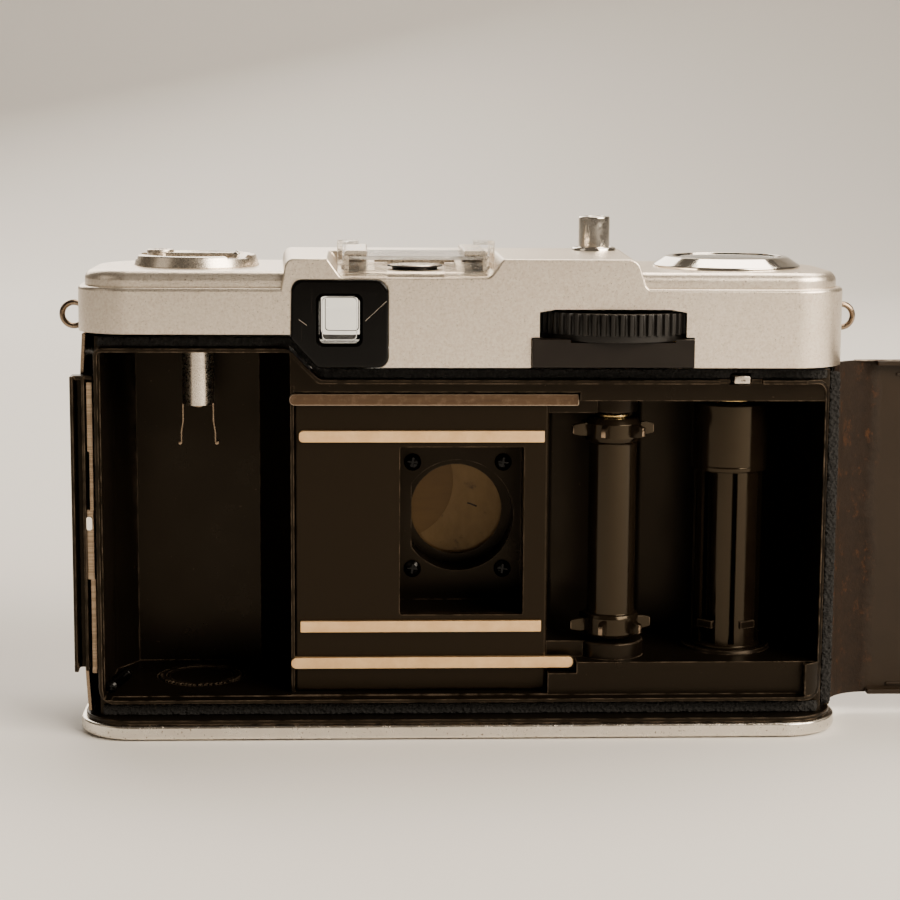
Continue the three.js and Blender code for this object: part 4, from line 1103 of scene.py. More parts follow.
def body_casting():
    body = prism(casting_plan(), 2.1, 51.6)
    raised = prism(casting_plan(), 51.0, RIM_LEFT_TOP + 2)
    fuse(body, cut(raised, block(STEP_HIGH + 0.3, FAR, -FAR, FAR, 0, FAR)))
    ledge = slab(lambda inset: body_outline(0.1 + inset), 2.05, 2.65, 0.2, steps=3)
    fuse(body, cut(ledge, block(-FAR, FAR, 15, FAR, 0, FAR)))
    wall = prism(rounded(compartment(0.55), [2.2, 2.0, 2.0, 1.5, 1.5, 1.0], 6), -3.4, 4.0, "back")
    fuse(body, bevelled(wall, 0.2, 3, 50))
    cut(body, door_sweep())
    cut(body, block(-FAR, -50.7, -FAR, FAR, 2.65, FAR), block(51.2, FAR, -FAR, HINGE[1] + 1.5, 2.65, FAR))
    inner = prism(rounded(compartment(0.0), [1.7, 1.5, 1.5, 1.0, 1.0, 0.6], 6), -FAR, CASTING_REAR, "back")
    cut(body, inner, cassette_chamber(), takeup_chamber())
    fuse(body, shaft_boss(3.4, 45.0, TAKEUP_HIGH + 0.5), shaft_boss(4.7, TAKEUP_LOW - 0.5, 12.2))
    seat, tongue = GATE_BACK + 0.1, TONGUE_RIGHT + 0.1
    cut(body, block(GATE_LEFT - 0.1, GATE_RIGHT + 0.12, -FAR, seat, GATE_LOW - 0.1, GATE_HIGH + 0.1))
    cut(body, block(GATE_RIGHT, tongue, -FAR, seat, 8.3, TAKEUP_LOW + 0.05))
    cut(body, block(GATE_RIGHT, tongue, -FAR, seat, TAKEUP_HIGH - 0.05, GATE_HIGH + 0.1))
    half, tall = GATE_WIDTH / 2 + 0.6, GATE_HEIGHT / 2 + 0.6
    cut(body, block(-half, half, 0, TUNNEL_FLOOR, FILM_Z - tall, FILM_Z + tall))
    hole = common(peg(0, FILM_Z, 8.2, TUNNEL_FLOOR - 1, 20), block(-6.75, 9, 0, 30, 0, 60))
    cut(body, hole, peg(0, FILM_Z, 17.5, SHUTTER_REAR, FAR))
    for node in ("sprocket", "take_up_spool"):
        shaft = centre(node)
        cut(body, rod(shaft.x, shaft.y, 1.8, 45, FAR))
    fork_x, fork_y = centre("rewind_fork").x, centre("rewind_knob").y
    cut(body, rod(fork_x, fork_y, 2.6, 50, FAR))
    cut(body, block(CHAMBER_RIGHT - 0.3, GATE_LEFT, -FAR, GATE_FACE - 0.25, 5.4, RIM_TOP - 0.6))
    cut(body, block(37.0, 40.0, -FAR, 4.2, 49.4, 51.2), tile(35.4, 41.4, 48.9, 51.0, 0.5, -FAR, -2.2))
    groove = tube_profile(4.6, 6.3, CHAMBER_FLOOR - 0.7, CHAMBER_FLOOR + 2, 0.1)
    cut(body, lathe(groove, (fork_x, fork_y, 0), "Z", 64))
    bevelled(body, 0.14, 2, 60)
    piece(body, "casting", "casting_paint", "body_casting")
    serrated = prism(ribbed_outline(5.9, 0.35, 48, 0.4), CHAMBER_FLOOR - 0.55, CHAMBER_FLOOR + 0.15)
    cut(serrated, rod(0, 0, 5.0, 0, FAR))
    piece(moved(serrated, (fork_x, fork_y, 0)), "cassette_seat_ring", "casting_paint")
    step = cut(block(48.4, 51.1, -3.0, -1.15, 5.25, 9.9, 0.25), door_sweep())
    piece(step, "sill_step", "casting_paint")
    screw_head(-49.2, -1.3, 6.6, 0.9, "sill_screw")


def screw_head(x, y, z, radius, name, *nodes):
    """A domed cross-head screw that faces backwards; y is where its dome ends."""
    dome = [(0, 0.75), (radius, 0.75), (radius, 0.35), (radius * 0.55, 0.02), (0, -0.05)]
    head = turned(dome, [0, 0.05, 0.2, 0.3, 0], steps=40, axis="Y")
    arm, width = radius * 0.62, radius * 0.13
    for turn in (8, 98):
        cut(head, moved(tile(-arm, arm, -width, width, width * 0.6, -1, 0.42, 3), turn=(0, turn, 0)))
    bevelled(head, 0.03, 1, 50)
    piece(moved(head, (x, y, z)), name, "black_gloss", *nodes)


def gate_screws():
    for row in ("upper", "lower"):
        for side in ("left", "right"):
            node = f"gate_screw_{row}_{side}"
            low, high = extent(node)
            x, z = (low.x + high.x) / 2, (low.z + high.z) / 2
            screw_head(x, low.y - 0.1, z, 1.25, node + "_head", node)


def film_gate():
    outline = shrinking(GATE_LEFT, GATE_RIGHT, GATE_LOW, GATE_HIGH, 0.3)
    plate = slab(outline, 0, GATE_BACK - GATE_FACE, 0, 0.45, plane="back")
    moved(plate, (0, GATE_FACE, 0))
    for low, high in ((TAKEUP_HIGH, GATE_HIGH), (8.4, TAKEUP_LOW)):
        fuse(plate, block(GATE_RIGHT - 1, TONGUE_RIGHT, GATE_FACE + 0.05, GATE_BACK, low, high, 0.2))
    half, tall = GATE_WIDTH / 2, GATE_HEIGHT / 2
    cut(plate, tile(-half, half, FILM_Z - tall, FILM_Z + tall, 0.25, -FAR, FAR))
    bevelled(plate, 0.12, 2, 60)
    piece(plate, "gate_plate", "gate_paint", "film_gate")


RAILS = (
    # name, left, right, bottom, rear face, left end radius, right end radius, material
    ("outer_top", -24.1, 16.2, 46.3, -0.2, 0.75, 0.25, "tarnished_rail"),
    ("inner_top", -22.8, 11.5, 41.1, 0.0, 0.6, 0.2, "bright_rail"),
    ("inner_low", -22.7, 11.3, 14.05, 0.0, 0.15, 0.2, "bright_rail"),
    ("outer_low", -24.0, 15.9, 8.85, -0.2, 0.8, 0.8, "bright_rail"),
)
RAIL_WIDTH = 1.65


def film_rails():
    for name, left, right, low, face, left_end, right_end, look in RAILS:
        ends = [left_end, right_end, right_end, left_end]
        rail = tile(left, right, low, low + RAIL_WIDTH, ends, face, GATE_FACE + 0.2, 6)
        piece(bevelled(rail, 0.12, 2, 50), "rail_" + name, look)


# ------------------------------------------------------------------ shutter
def shutter():
    low, high = extent("shutter_plate")
    ring = [(6.72, low.y), (17.2, low.y), (17.2, high.y), (6.95, high.y)]
    plate = turned(ring, [0.05, 0.05, 0.05, 0.1], LENS_AXIS, 128, 3, "Y", True)
    piece(plate, "shutter_backplate", "casting_paint", "shutter_plate")
    reach, edge_x, edge_z, edge_radius, pivot = 7.5, -9.3, 4.1, 8.9, 13.0
    y0, y1 = [v.y for v in extent("shutter_blade_left")]
    leaf = common(peg(edge_x, edge_z, edge_radius, y0, y1, 0.03, 160), peg(0, 0, reach, y0, y1, 0.0, 128))
    link = cut(peg(0, 0, reach + 0.9, y0, y1, 0.0), peg(0, 0, reach - 0.5, -FAR, FAR, 0.0))
    common(link, block(-FAR, 0.5, y0, y1, -FAR, -1))
    fuse(leaf, link, blade_arm(pivot, reach, y0, y1))
    moved(leaf, LENS_AXIS)
    piece(leaf, "blade_leaf_left", "blade_dark", "shutter_blade_left", body="blade_left")
    y0, y1 = [v.y for v in extent("shutter_blade_right")]
    leaf = cut(peg(0, 0, reach, y0, y1, 0.03, 128), peg(edge_x, edge_z, edge_radius - 1.0, -FAR, FAR, 0.0))
    fuse(leaf, blade_arm(pivot, reach, y0, y1))
    moved(leaf, LENS_AXIS)
    piece(leaf, "blade_leaf_right", "blade_light", "shutter_blade_right", body="blade_right")
    scrape = rounded([(1.0, 0.75), (2.0, 0.75), (3.3, 0.25), (3.1, 0.05), (2.2, 0.45)], 0.1, 3)
    mark = moved(prism(scrape, y0 - 0.03, y0 + 0.02, "back"), LENS_AXIS)
    piece(mark, "blade_scrape", "brown_plastic", body="blade_right")


def blade_arm(pivot, reach, y0, y1):
    arm = fuse(peg(0, -pivot, 1.6, y0, y1, 0.0), block(-1.2, 1.2, y0, y1, -pivot, -reach + 1.0))
    return cut(arm, peg(0, -pivot, 0.7, -FAR, FAR, 0.0))


# ------------------------------------------------------------------ sprocket and spool
SPROCKET_PHASE = 10
SPOOL_SLOTS = (
    # direction in degrees, width
    (-132, 2.8), (-88.5, 0.9), (-30, 1.8), (20, 0.85), (70, 2.4), (130, 0.85), (180, 1.8),
)


def sprocket():
    top = extent("sprocket")[1].z
    x, y = centre("sprocket").x, WIND_Y
    drum, rim, tip, half = 3.4, 4.0, 5.9, 1.7
    rows = {"low": FILM_Z - ROW_SPACING / 2, "high": FILM_Z + ROW_SPACING / 2}
    turns = [SPROCKET_PHASE + 60 * i for i in range(6)]
    low0, low1 = rows["low"] - half, rows["low"] + half
    high0, high1 = rows["high"] - half, rows["high"] + half
    body = turned([
        (0, low0), (rim - 0.5, low0), (rim, low0 + 0.6), (rim, low1 - 0.5), (rim - 0.15, low1), (drum, low1),
        (drum, high0 - 0.3), (drum + 0.2, high0), (rim - 0.2, high0), (rim, high0 + 0.6), (rim, high1 - 0.8),
        (rim - 0.5, high1), (1.4, high1), (1.4, top), (0, top),
    ], [0, 0.2, 0.2, 0.15, 0.1, 0.2, 0.3, 0.3, 0.2, 0.2, 0.2, 0.2, 0.2, 0.1, 0])
    for row in rows.values():
        for turn in turns:
            tooth = loft([
                [(reach, u, v) for u, v in rectangle(-wide, wide, -tall, tall)]
                for reach, wide, tall in ((rim - 0.4, 0.5, 0.95), (rim + 0.9, 0.48, 0.9), (tip, 0.34, 0.7))
            ])
            bevelled(tooth, 0.12, 2, 30)
            fuse(body, moved(tooth, (0, 0, row), (0, 0, turn)))
    piece(moved(body, (x, y, 0)), "sprocket_wheel", "spool_gloss", "sprocket", body="winder")
    for name, row in rows.items():
        for i, turn in enumerate(turns):
            px, py = polar(tip - 0.02, math.radians(turn))
            cap = block(-0.08, 0.05, -0.3, 0.3, -0.6, 0.6, 0.05)
            moved(cap, (x + px, y + py, row), (0, 0, turn))
            piece(cap, f"sprocket_tip_{name}_{i}", "sooty_steel", body="winder")
    washer = lathe(tube_profile(1.5, 2.3, high1 + 0.05, high1 + 0.5, 0.1), (x, y, 0), "Z", 64)
    piece(washer, "sprocket_washer", "brass")


def take_up_spool():
    low, high = extent("take_up_spool")
    axis = centre("take_up_spool")
    x, y = axis.x, axis.y
    foot, collar_low, collar_high = low.z, 36.1, 45.9
    core = turned([
        (0, foot), (5.1, foot), (5.1, foot + 0.7), (3.0, foot + 0.7), (3.0, collar_low), (5.45, collar_low),
        (5.45, collar_low + 0.6), (5.4, collar_low + 0.8), (5.4, collar_high), (1.4, collar_high),
        (1.4, high.z), (0, high.z),
    ], [0, 0.25, 0.2, 0.2, 0.2, 0.2, 0.3, 0.3, 0.35, 0.2, 0.1, 0], (x, y, 0))
    shell = lathe(tube_profile(4.2, 4.9, foot + 0.5, collar_low + 0.3, 0.05), steps=120)
    for angle, width in SPOOL_SLOTS:
        slot = block(0, 10, -width / 2, width / 2, foot + 0.9, collar_low - 0.1)
        cut(shell, moved(slot, turn=(0, 0, angle)))
    fuse(core, moved(shell, (x, y, 0)))
    piece(core, "spool_drum", "spool_gloss", "take_up_spool", body="spool")
    for k, angle in enumerate((-135, -60)):
        tab = block(4.3, 5.15, -1.3, 1.3, 13.3, 14.4, 0.12)
        piece(moved(tab, (x, y, 0), (0, 0, angle)), f"spool_tab_{k}", "casting_paint", body="spool")
    under, over = TAKEUP_LOW - 0.1, TAKEUP_LOW + 0.5
    seat = turned([(5.3, under), (6.6, under), (6.3, over), (5.5, over)], 0.12, (x, y, 0), arc=3, closed=True)
    piece(seat, "spool_seat", "casting_paint")
    washer = lathe(tube_profile(2.0, 4.4, collar_high + 0.3, TAKEUP_HIGH - 0.3, 0.1), (x, y, 0), "Z", 64)
    piece(washer, "spool_washer", "brass")


# ------------------------------------------------------------------ seals and reset pin
def crumpled(obj, amount, seed, size):
    """Cuts a shape into voxels of this size and pushes its points about, for foam that has gone ragged."""
    remesh = obj.modifiers.new("fine", "REMESH")
    remesh.mode = "VOXEL"
    remesh.voxel_size = size
    baked(obj)
    dice = random.Random(seed)
    for vertex in obj.data.vertices:
        vertex.co += Vector([dice.uniform(-amount, amount) for _ in range(3)])
    return obj


def light_seals():
    low, high = extent("light_seal_top")
    top = prism([
        (low.x, 54.7), (STEP_HIGH + 0.5, 54.7), (STEP_LOW + 0.5, 50.35), (high.x, 50.35),
        (high.x, 51.6), (STEP_LOW + 1.0, 51.6), (STEP_HIGH + 1.0, 55.9), (low.x, 55.9),
    ], low.y, high.y, "back")
    cut(top, block(37.0, 40.0, -FAR, FAR, 49, 51.05), door_sweep())
    low, high = extent("light_seal_bottom")
    bottom = cut(block(low.x, high.x, low.y, high.y, low.z - 0.02, high.z), door_sweep())
    low, high = extent("light_seal_hinge")
    strip = block(low.x, high.x, low.y, high.y, low.z, high.z)
    for name, shape, amount, seed, size in (
        ("top", top, 0.09, 3, 0.26), ("bottom", bottom, 0.09, 5, 0.26), ("hinge", strip, 0.1, 7, 0.22),
    ):
        seal = piece(crumpled(shape, amount, seed, size), "seal_foam_" + name, "foam", "light_seal_" + name)


def reset_pin():
    low, high = extent("counter_reset_pin")
    pin = block(low.x, high.x, low.y, high.y, low.z, high.z, 0.15)
    cut(pin, block(low.x + 0.9, low.x + 1.5, low.y - 1, low.y + 0.4, low.z + 0.35, low.z + 0.6))
    piece(pin, "reset_tab", "dull_steel", "counter_reset_pin", body="reset")


# ------------------------------------------------------------------ base
def base():
    plate = slab(lambda inset: body_outline(-0.6 + inset), 0, BASE_TOP, 0.35, 0.6, steps=5)
    bush, button = centre("tripod_bush"), centre("rewind_release_button")
    cut(plate, rod(bush.x, bush.y, 6.1, -1, FAR), rod(button.x, button.y, 2.55, -1, FAR))
    piece(plate, "base_shell", "base_chrome", "baseplate")
    profile = [(6.0, 0), (6.0, BASE_TOP), (3.3, BASE_TOP)]
    turns = 5
    for k in range(turns):
        z = BASE_TOP - (BASE_TOP - 0.3) * (k + 0.5) / turns
        profile += [(3.0, z + 0.12), (3.25, z - 0.08)]
    profile.append((3.5, 0.0))
    piece(lathe(profile, (bush.x, bush.y, 0), "Z", 64), "tripod_thread", "dull_steel", "tripod_bush")
    low, high = extent("rewind_release_button")
    dome = [(0, low.z + 0.25), (1.4, low.z), (2.4, low.z + 0.1), (2.4, high.z), (0, high.z)]
    knob = turned(dome, [0, 0.4, 0.2, 0.1, 0], (button.x, button.y, 0), 64)
    piece(knob, "rewind_release", "turned_silver", "rewind_release_button", body="rewind_button")
    for k, (x, y) in enumerate(((-46, 4), (46, 4), (-44, 17), (44, 17))):
        screw = turned([(0, -0.02), (1.5, 0.0), (1.7, 0.3), (0, 0.3)], 0.08, steps=40, arc=3)
        cut(screw, block(-1.2, 1.2, -0.18, 0.18, -1, 0.18), block(-0.18, 0.18, -1.2, 1.2, -1, 0.18))
        piece(moved(screw, (x, y, 0), (0, 0, 20 * k)), f"base_screw_{k}", "dull_steel")


# ------------------------------------------------------------------ front shell and leatherette
def band(outer, inner, low, high):
    return cut(prism(body_outline(outer), low, high), prism(body_outline(inner), 0, FAR))


def front():
    shell = band(0.0, 0.8, 2.1, 51.8)
    cut(shell, block(-FAR, FAR, -FAR, 6.5, -FAR, FAR), block(-FAR, 0, -FAR, 9.7, -FAR, FAR))
    cut(shell, peg(0, FILM_Z, 17.4, 0, FAR))
    piece(bevelled(shell, 0.1, 2, 50), "front_skin", "casting_paint", "front_shell")
    leather = band(-0.45, -0.05, 3.2, 51.2)
    cut(leather, block(-FAR, FAR, -FAR, 8.0, -FAR, FAR), block(-FAR, 0, -FAR, 10.5, -FAR, FAR))
    cut(leather, peg(0, FILM_Z, 23.0, 0, FAR))
    piece(bevelled(leather, 0.15, 2, 50), "front_leather", "leatherette", "front_leatherette")


# ------------------------------------------------------------------ lens
def ribbed_ring(inner, outer, depth, ribs, low, high, crest=0.5):
    ring = prism(ribbed_outline(outer, depth, ribs, crest), low, high, "back")
    cut(ring, peg(0, 0, inner, -FAR, FAR, 0.0, 128))
    bevelled(ring, 0.1, 2, 50)
    return moved(ring, (0, 0, FILM_Z))


def lens_ring(profile, radii=0.1):
    return turned(profile, radii, LENS_AXIS, 128, 4, "Y", True)


def lens_disc(profile, radii, steps=96):
    return turned(profile, radii, LENS_AXIS, steps, 4, "Y")


def lens_front():
    barrel = lens_ring([
        (6.25, 26.5), (7.35, 26.5), (7.35, 29.5), (18.0, 29.5), (18.0, 25.1), (20.5, 25.1), (20.5, 31.5),
        (7.35, 31.5), (7.35, 38.2), (6.9, 38.2), (6.25, 37.2),
    ], 0.15)
    piece(barrel, "lens_tube", "black_plastic", "lens_barrel")
    flange = lens_ring([(20.9, 25.05), (24.2, 25.05), (24.2, 25.4), (23.4, 25.9), (20.9, 25.9)])
    piece(flange, "lens_flange", "bright_chrome")
    rear = lens_disc([(0, 26.8), (4, 27.0), (6.1, 27.6), (6.1, 28.6), (0, 28.6)], [0, 4, 0.1, 0.1, 0])
    piece(rear, "rear_element", "coated_glass", "lens_rear_element")
    fore = lens_disc([(0, 35.4), (6.1, 35.4), (6.1, 36.4), (4, 37.2), (0, 37.5)], [0, 0.1, 0.1, 5, 0])
    piece(fore, "front_element", "coated_glass", "lens_front_element")
    cell = lens_ring([(7.9, 33.6), (17.2, 33.6), (17.2, 34.4), (7.9, 34.4)], 0.05)
    piece(cell, "cell_ring", "light_cell", "selenium_cell")
    window = lens_ring([(7.6, 35.5), (17.3, 35.5), (17.3, 36.5), (7.6, 37.0)])
    piece(window, "cell_pane", "window_glass", "cell_window")
    bubbles()
    bezel = lens_ring([
        (17.5, 31.8), (20.4, 31.8), (20.4, 36.2), (19.3, 38.2), (18.1, 38.3), (17.5, 37.4),
    ], [0.1, 0.1, 0.6, 0.5, 0.3, 0.2])
    for k in range(3):
        start = 32.6 + 0.7 * k
        cut(bezel, lens_ring(rectangle(20.25, 21, start, start + 0.2), 0.0))
    piece(bezel, "lens_rim", "turned_silver", "lens_bezel")
    retainer = lens_ring([(6.3, 37.0), (7.3, 37.0), (7.3, 38.25), (6.3, 37.6)])
    piece(retainer, "front_retainer", "turned_silver")
    focus = ribbed_ring(20.7, 22.3, 0.45, 84, 26.05, 28.45)
    piece(focus, "focus_grip", "black_plastic", "focus_ring", body="focus")
    aperture = ribbed_ring(20.7, 21.85, 0.28, 120, 28.95, 31.25)
    piece(aperture, "aperture_grip", "turned_silver", "aperture_ring", body="aperture")
    for k in range(9):
        mark = block(-0.12, 0.12, 24.95, 25.95, 23.3, 24.0)
        piece(moved(mark, (0, 0, FILM_Z), (0, -40 + 10 * k, 0)), f"focus_mark_{k}", "dial_black")
    cover = lens_disc([(0, 20.7), (16.9, 20.7), (16.9, 21.6), (0, 21.6)], [0, 0.1, 0.1, 0], 64)
    piece(cover, "shutter_cover", "black_plastic", "shutter_housing")


def bubbles():
    """Small domes that gather light, in rings between the lens and its rim."""
    bm = bmesh.new()
    rise, across, rows = 0.42, 12, 4
    for ring_radius in (8.9, 10.5, 12.1, 13.7, 15.3):
        count = int(2 * math.pi * ring_radius / 1.62)
        base = 36.95 - 0.5 * (ring_radius - 7.6) / 9.7
        for i in range(count):
            u, v = polar(ring_radius, 2 * math.pi * i / count)
            rings = []
            for k in range(rows):
                tilt = math.pi / 2 * k / rows
                ring = [polar(0.76 * math.cos(tilt), 2 * math.pi * m / across) for m in range(across)]
                height = base - 0.1 * (k == 0) + rise * math.sin(tilt)
                rings.append([bm.verts.new((u + a, height, v + b + FILM_Z)) for a, b in ring])
            for lower, upper in zip(rings, rings[1:]):
                for m in range(across):
                    bm.faces.new((lower[m], lower[m - 1], upper[m - 1], upper[m]))
            bm.faces.new(rings[-1])
            bm.faces.new(rings[0][::-1])
    piece(from_bmesh(bm), "cell_bubbles", "window_glass", smooth=180)


# ------------------------------------------------------------------ back door
def door_panel_outline(inset, right):
    left, low, top, step_top = DOOR_LEFT + inset, DOOR_BOTTOM + inset, DOOR_TOP - inset, DOOR_LEFT_TOP - inset
    return rounded([
        (left, low), (right, low), (right, top), (STEP_LOW, top), (STEP_HIGH, step_top), (left, step_top),
    ], [2.0, 0, 0, 1.0, 1.0, 1.0])


def door_leather_outline(inset):
    left, right, low, top, step_top = -48.9 + inset, 45.2 - inset, 3.7 + inset, 50.8 - inset, 55.1 - inset
    return rounded([
        (left, low), (right, low), (right, top),
        (STEP_LOW - 0.5, top), (STEP_HIGH - 0.5, step_top), (left, step_top),
    ], [1.5, 1.5, 1.5, 0.5, 0.5, 1.0], 4)


def back_door():
    bend_start = DOOR_RIGHT - DOOR_BEND
    thick = DOOR_INSIDE - DOOR_OUTSIDE
    panel = slab(lambda inset: door_panel_outline(inset, bend_start), 0, thick, 0.0, 0.3, plane="back")
    moved(panel, (0, DOOR_OUTSIDE, 0))
    lower = block(-48.0, bend_start, DOOR_OUTSIDE + 0.1, -2.2, DOOR_BOTTOM, DOOR_BOTTOM + 0.7, 0.15)
    upper = block(STEP_LOW + 0.6, bend_start, DOOR_OUTSIDE + 0.1, -2.2, DOOR_TOP - 0.65, DOOR_TOP, 0.15)
    fuse(panel, lower, upper)
    quarter = [math.pi / 2 * k / 14 for k in range(15)]
    arc = [polar(DOOR_BEND, a - math.pi / 2) for a in quarter]
    arc += [polar(DOOR_BEND - thick, -a) for a in quarter]
    bend = prism([(bend_start + u, DOOR_OUTSIDE + DOOR_BEND + v) for u, v in arc], DOOR_BOTTOM, DOOR_TOP)
    fuse(panel, bend, rod(*HINGE, 0.75, 5.0, 49.5, 0.05, 32))
    cut(panel, rod(*HINGE, 0.45, 0, FAR, 0.0, 32))
    for low in (3.9, 49.6):
        fuse(panel, block(-49.0, bend_start - 3.0, -3.8, -3.45, low, low + 0.4, 0.12))
    piece(opened(panel), "door_shell", "door_paint", "back_door", body="door")
    leather = slab(door_leather_outline, 0, 0.4, 0.0, 0.15, steps=3, plane="back")
    opened(moved(leather, (0, -4.93, 0)))
    piece(leather, "door_leather", "leatherette", "door_leatherette", body="door")
    edge = block(-19.0, bend_start + 3.0, DOOR_OUTSIDE - 0.02, -2.9, DOOR_TOP - 0.02, DOOR_TOP + 0.05)
    piece(opened(edge), "door_bare_edge", "bare_edge", body="door")
    felt = block(HINGE[0] - 0.1, HINGE[0] + 1.3, HINGE[1] + 1.0, HINGE[1] + 2.4, 3.4, 51.0)
    piece(opened(crumpled(felt, 0.1, 9, 0.24)), "door_felt", "foam", body="door")
    pressure_plate()
    pin = rod(*HINGE, 0.38, 2.7, 51.7, 0.08, 24)
    piece(pin, "hinge_rod", "mossy_brass", "hinge_pin")


def pressure_plate():
    x0, x1, z0, z1 = -15.0, 11.0, FILM_Z - 17.4, FILM_Z + 17.4
    plate = slab(shrinking(x0, x1, z0, z1, 1.5), -0.85, -0.2, 0.15, 0.15, steps=3, plane="back")
    for low in (z0 + 1.2, z1 - 2.2):
        cut(plate, tile(-2.8, 2.8, low, low + 1.0, 0.45, -FAR, FAR))
    for x in range(int(x0) + 3, int(x1), 3):
        cut(plate, block(x - 0.1, x + 0.1, -0.25, 1, z0 + 4, z1 - 4))
    piece(opened(plate), "pressure_pad", "black_gloss", "pressure_plate", body="plate")
    leaf = block(-10, 6, -3.6, -3.25, FILM_Z - 14, FILM_Z + 14)
    cut(leaf, tile(-8, 4, FILM_Z - 9, FILM_Z + 9, 1.5, -FAR, FAR))
    for side in (-1, 1):
        curve = ((-3.4, 12.5), (-2.2, 11.2), (-2.0, 11.2), (-3.2, 12.9))
        fuse(leaf, prism([(y, FILM_Z + side * z) for y, z in curve], -5, 1, "side"))
    piece(opened(bevelled(leaf, 0.06, 1, 50)), "pressure_leaf", "dull_steel", "pressure_spring", body="door")


# ------------------------------------------------------------------ latch
def latch():
    low, high = extent("latch_bar")
    left, right, rear, fore = -53.9, -51.95, low.y, high.y
    section = rounded([
        (left, rear), (left + 0.45, rear), (left + 0.6, fore - 0.55), (right - 0.5, fore - 0.55),
        (right - 0.4, rear + 0.3), (right, rear + 0.3), (right, fore), (left, fore),
    ], [0.15, 0.1, 0.25, 0.25, 0.1, 0.1, 0.3, 0.4], 3)
    bar = bevelled(prism(section, low.z, high.z), 0.08, 1, 60)
    fuse(bar, block(left, -50.9, -2.4, fore, high.z - 0.6, high.z, 0.2))
    fuse(bar, block(left + 0.05, left + 0.6, rear - 0.35, rear + 0.8, low.z - 0.02, low.z + 1.0, 0.1))
    piece(bar, "latch_channel", "casting_paint", "latch_bar", body="latch")
    low, high = extent("latch_strip")
    sections = (
        (-51.75, -50.95, 40.2, high.z), (-51.5, -50.95, 32.0, 40.3),
        (-51.95, -51.0, 22.3, 32.1), (-51.55, -50.85, low.z, 22.4),
    )
    strip = None
    for x0, x1, z0, z1 in sections:
        step = block(x0, x1, low.y, 3.0, z0, z1, 0.12)
        strip = fuse(strip, step) if strip else step
    piece(strip, "latch_strip_bar", "ridged_tan", "latch_strip", body="latch")
    pin = tile(-52.05, -51.15, 29.3, 31.3, 0.4, low.y - 0.5, low.y + 0.5)
    piece(bevelled(pin, 0.1, 2, 50), "latch_catch", "bright_chrome", body="latch")
    bow, thick = 0.9, 0.55
    shares = [k / 12 for k in range(13)]
    outside = [(-52.5 - bow * 4 * share * (1 - share), 2.9 + share * 53.4) for share in shares]
    plate = prism(outside + [(x + thick, z) for x, z in outside[::-1]], 0.0, 9.4, "back")
    piece(bevelled(plate, 0.1, 1, 50), "latch_side_plate", "sooty_steel", "latch_plate")
    roll = prism(ribbed_outline(0.9, 0.1, 22, 0.4), -1.15, 1.15)
    fuse(roll, rod(0, 0, 0.7, -1.4, 1.4, 0.15, 32))
    tilt = 50
    piece(moved(roll, centre("knurled_stud"), (0, tilt, 0)), "knurled_post", "black_gloss", "knurled_stud")


# ------------------------------------------------------------------ hidden gears stay as the CAD made them
def hidden_gears():
    for node in ("drive_gear", "spool_gear"):
        repaint(node, "brass")


# ------------------------------------------------------------------ stage, light and camera
# the floor and the lights are in metres, the camera in millimetres and degrees
FLOOR_HALF, FLOOR_BACK, FLOOR_RISE, FLOOR_CURVE = 1.6, 1.3, 1.4, 0.45
LIGHTS = (
    # name, place, aim, size, watts, colour
    ("key", (0.52, -0.42, 0.42), (0.06, 0.0, 0.04), (0.6, 0.4), 12.5, (1.0, 0.88, 0.73)),
    ("fill", (-0.9, -0.35, 0.5), (0.0, 0.0, 0.04), (0.5, 0.5), 0.6, (1.0, 0.86, 0.70)),
    ("top", (0.25, 0.35, 0.85), (0.0, 0.1, 0.0), (0.8, 0.5), 10, (1.0, 0.89, 0.76)),
    ("front", (-0.3, 0.9, 0.5), (0.0, 0.0, 0.04), (0.8, 0.6), 6, (1.0, 0.92, 0.82)),
)
ROOM_COLOUR, ROOM_STRENGTH = (1.0, 0.86, 0.70, 1.0), 0.12
CAMERA_PLACE = (-14.85, -300.0, 84.4)
CAMERA_PITCH, CAMERA_HEADING, CAMERA_ROLL = 8.4, 2.5, 0.34
CAMERA_FOCAL = 87.04


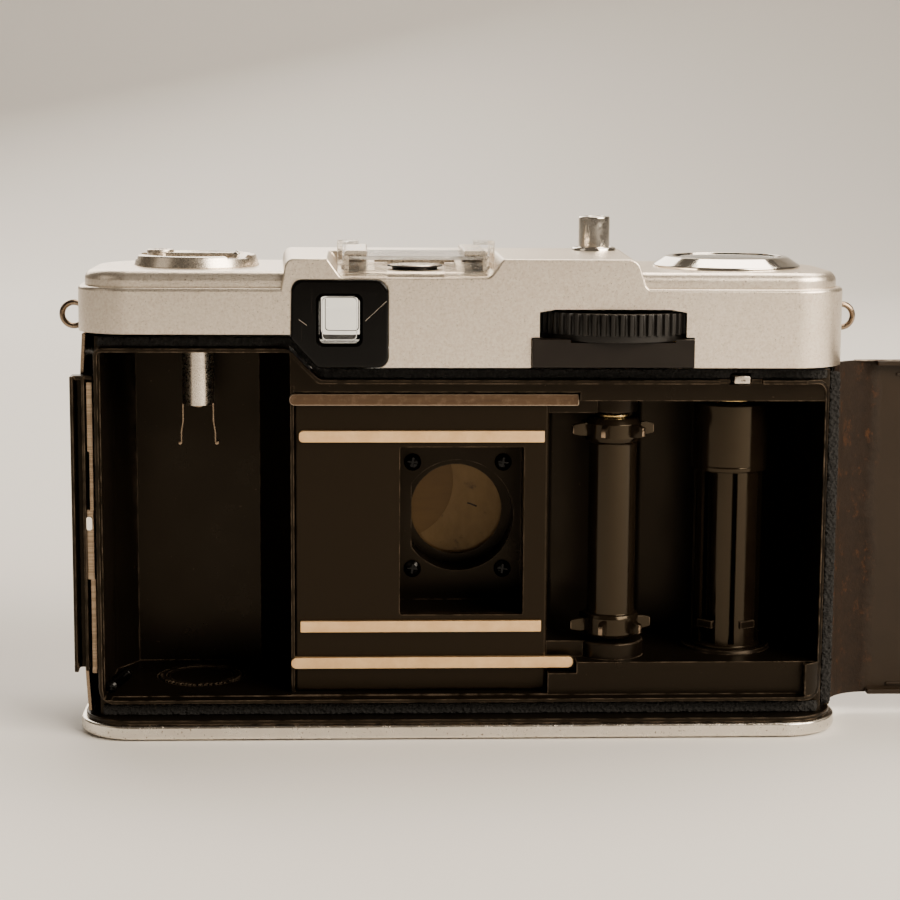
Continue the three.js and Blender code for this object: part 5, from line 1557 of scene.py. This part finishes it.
def stage():
    """A pale floor that curves up into a wall on the side that the lens points at."""
    bm = bmesh.new()
    corners = [(-FLOOR_HALF, 0.0), (FLOOR_BACK, 0.0), (FLOOR_BACK, FLOOR_RISE)]
    profile = rounded(corners, FLOOR_CURVE, 14, closed=False)
    rows = [[bm.verts.new((x, p.x, p.y)) for p in profile] for x in (-FLOOR_HALF, FLOOR_HALF)]
    for k in range(len(profile) - 1):
        bm.faces.new((rows[0][k], rows[1][k], rows[1][k + 1], rows[0][k + 1]))
    mesh = bpy.data.meshes.new("floor")
    bm.to_mesh(mesh)
    bm.free()
    floor = bpy.data.objects.new("floor", mesh)
    bpy.context.scene.collection.objects.link(floor)
    floor.location.z = -0.0002
    paper = Nodes("pale_floor")
    paper.look(base_color=rgb(0.80, 0.78, 0.75), roughness=0.85)
    mesh.materials.append(paper.material)
    mesh.shade_smooth()


def area_light(name, place_at, aim, size, power, colour):
    light = bpy.data.lights.new(name, "AREA")
    light.shape = "RECTANGLE"
    light.size, light.size_y = size
    light.energy = power
    light.color = colour
    obj = bpy.data.objects.new(name, light)
    bpy.context.scene.collection.objects.link(obj)
    obj.location = place_at
    obj.rotation_euler = (Vector(aim) - Vector(place_at)).to_track_quat("-Z", "Y").to_euler()


def lights():
    for light in LIGHTS:
        area_light(*light)
    world = bpy.data.worlds.new("room")
    world.use_nodes = True
    background = world.node_tree.nodes["Background"].inputs
    background["Color"].default_value = ROOM_COLOUR
    background["Strength"].default_value = ROOM_STRENGTH
    bpy.context.scene.world = world


def view_camera():
    data = bpy.data.cameras.new("view")
    data.lens = CAMERA_FOCAL
    data.sensor_width = 36.0
    data.clip_start = 0.01
    obj = bpy.data.objects.new("view", data)
    bpy.context.scene.collection.objects.link(obj)
    obj.location = Vector(CAMERA_PLACE) * MM
    turn = Matrix.Rotation(math.radians(-CAMERA_HEADING), 3, "Z")
    tilt = Matrix.Rotation(math.radians(90 - CAMERA_PITCH), 3, "X")
    roll = Matrix.Rotation(math.radians(CAMERA_ROLL), 3, "Z")
    obj.rotation_euler = (turn @ tilt @ roll).to_euler()
    bpy.context.scene.camera = obj


view_camera()
lights()
stage()
top_cover()
viewfinder()
accessory_shoe()
shoe_guard()
rewind()
frame_counter()
shutter_release()
strap_lugs()
winding_wheel()
body_casting()
gate_screws()
film_gate()
film_rails()
shutter()
sprocket()
take_up_spool()
light_seals()
reset_pin()
base()
front()
lens_front()
back_door()
latch()
hidden_gears()
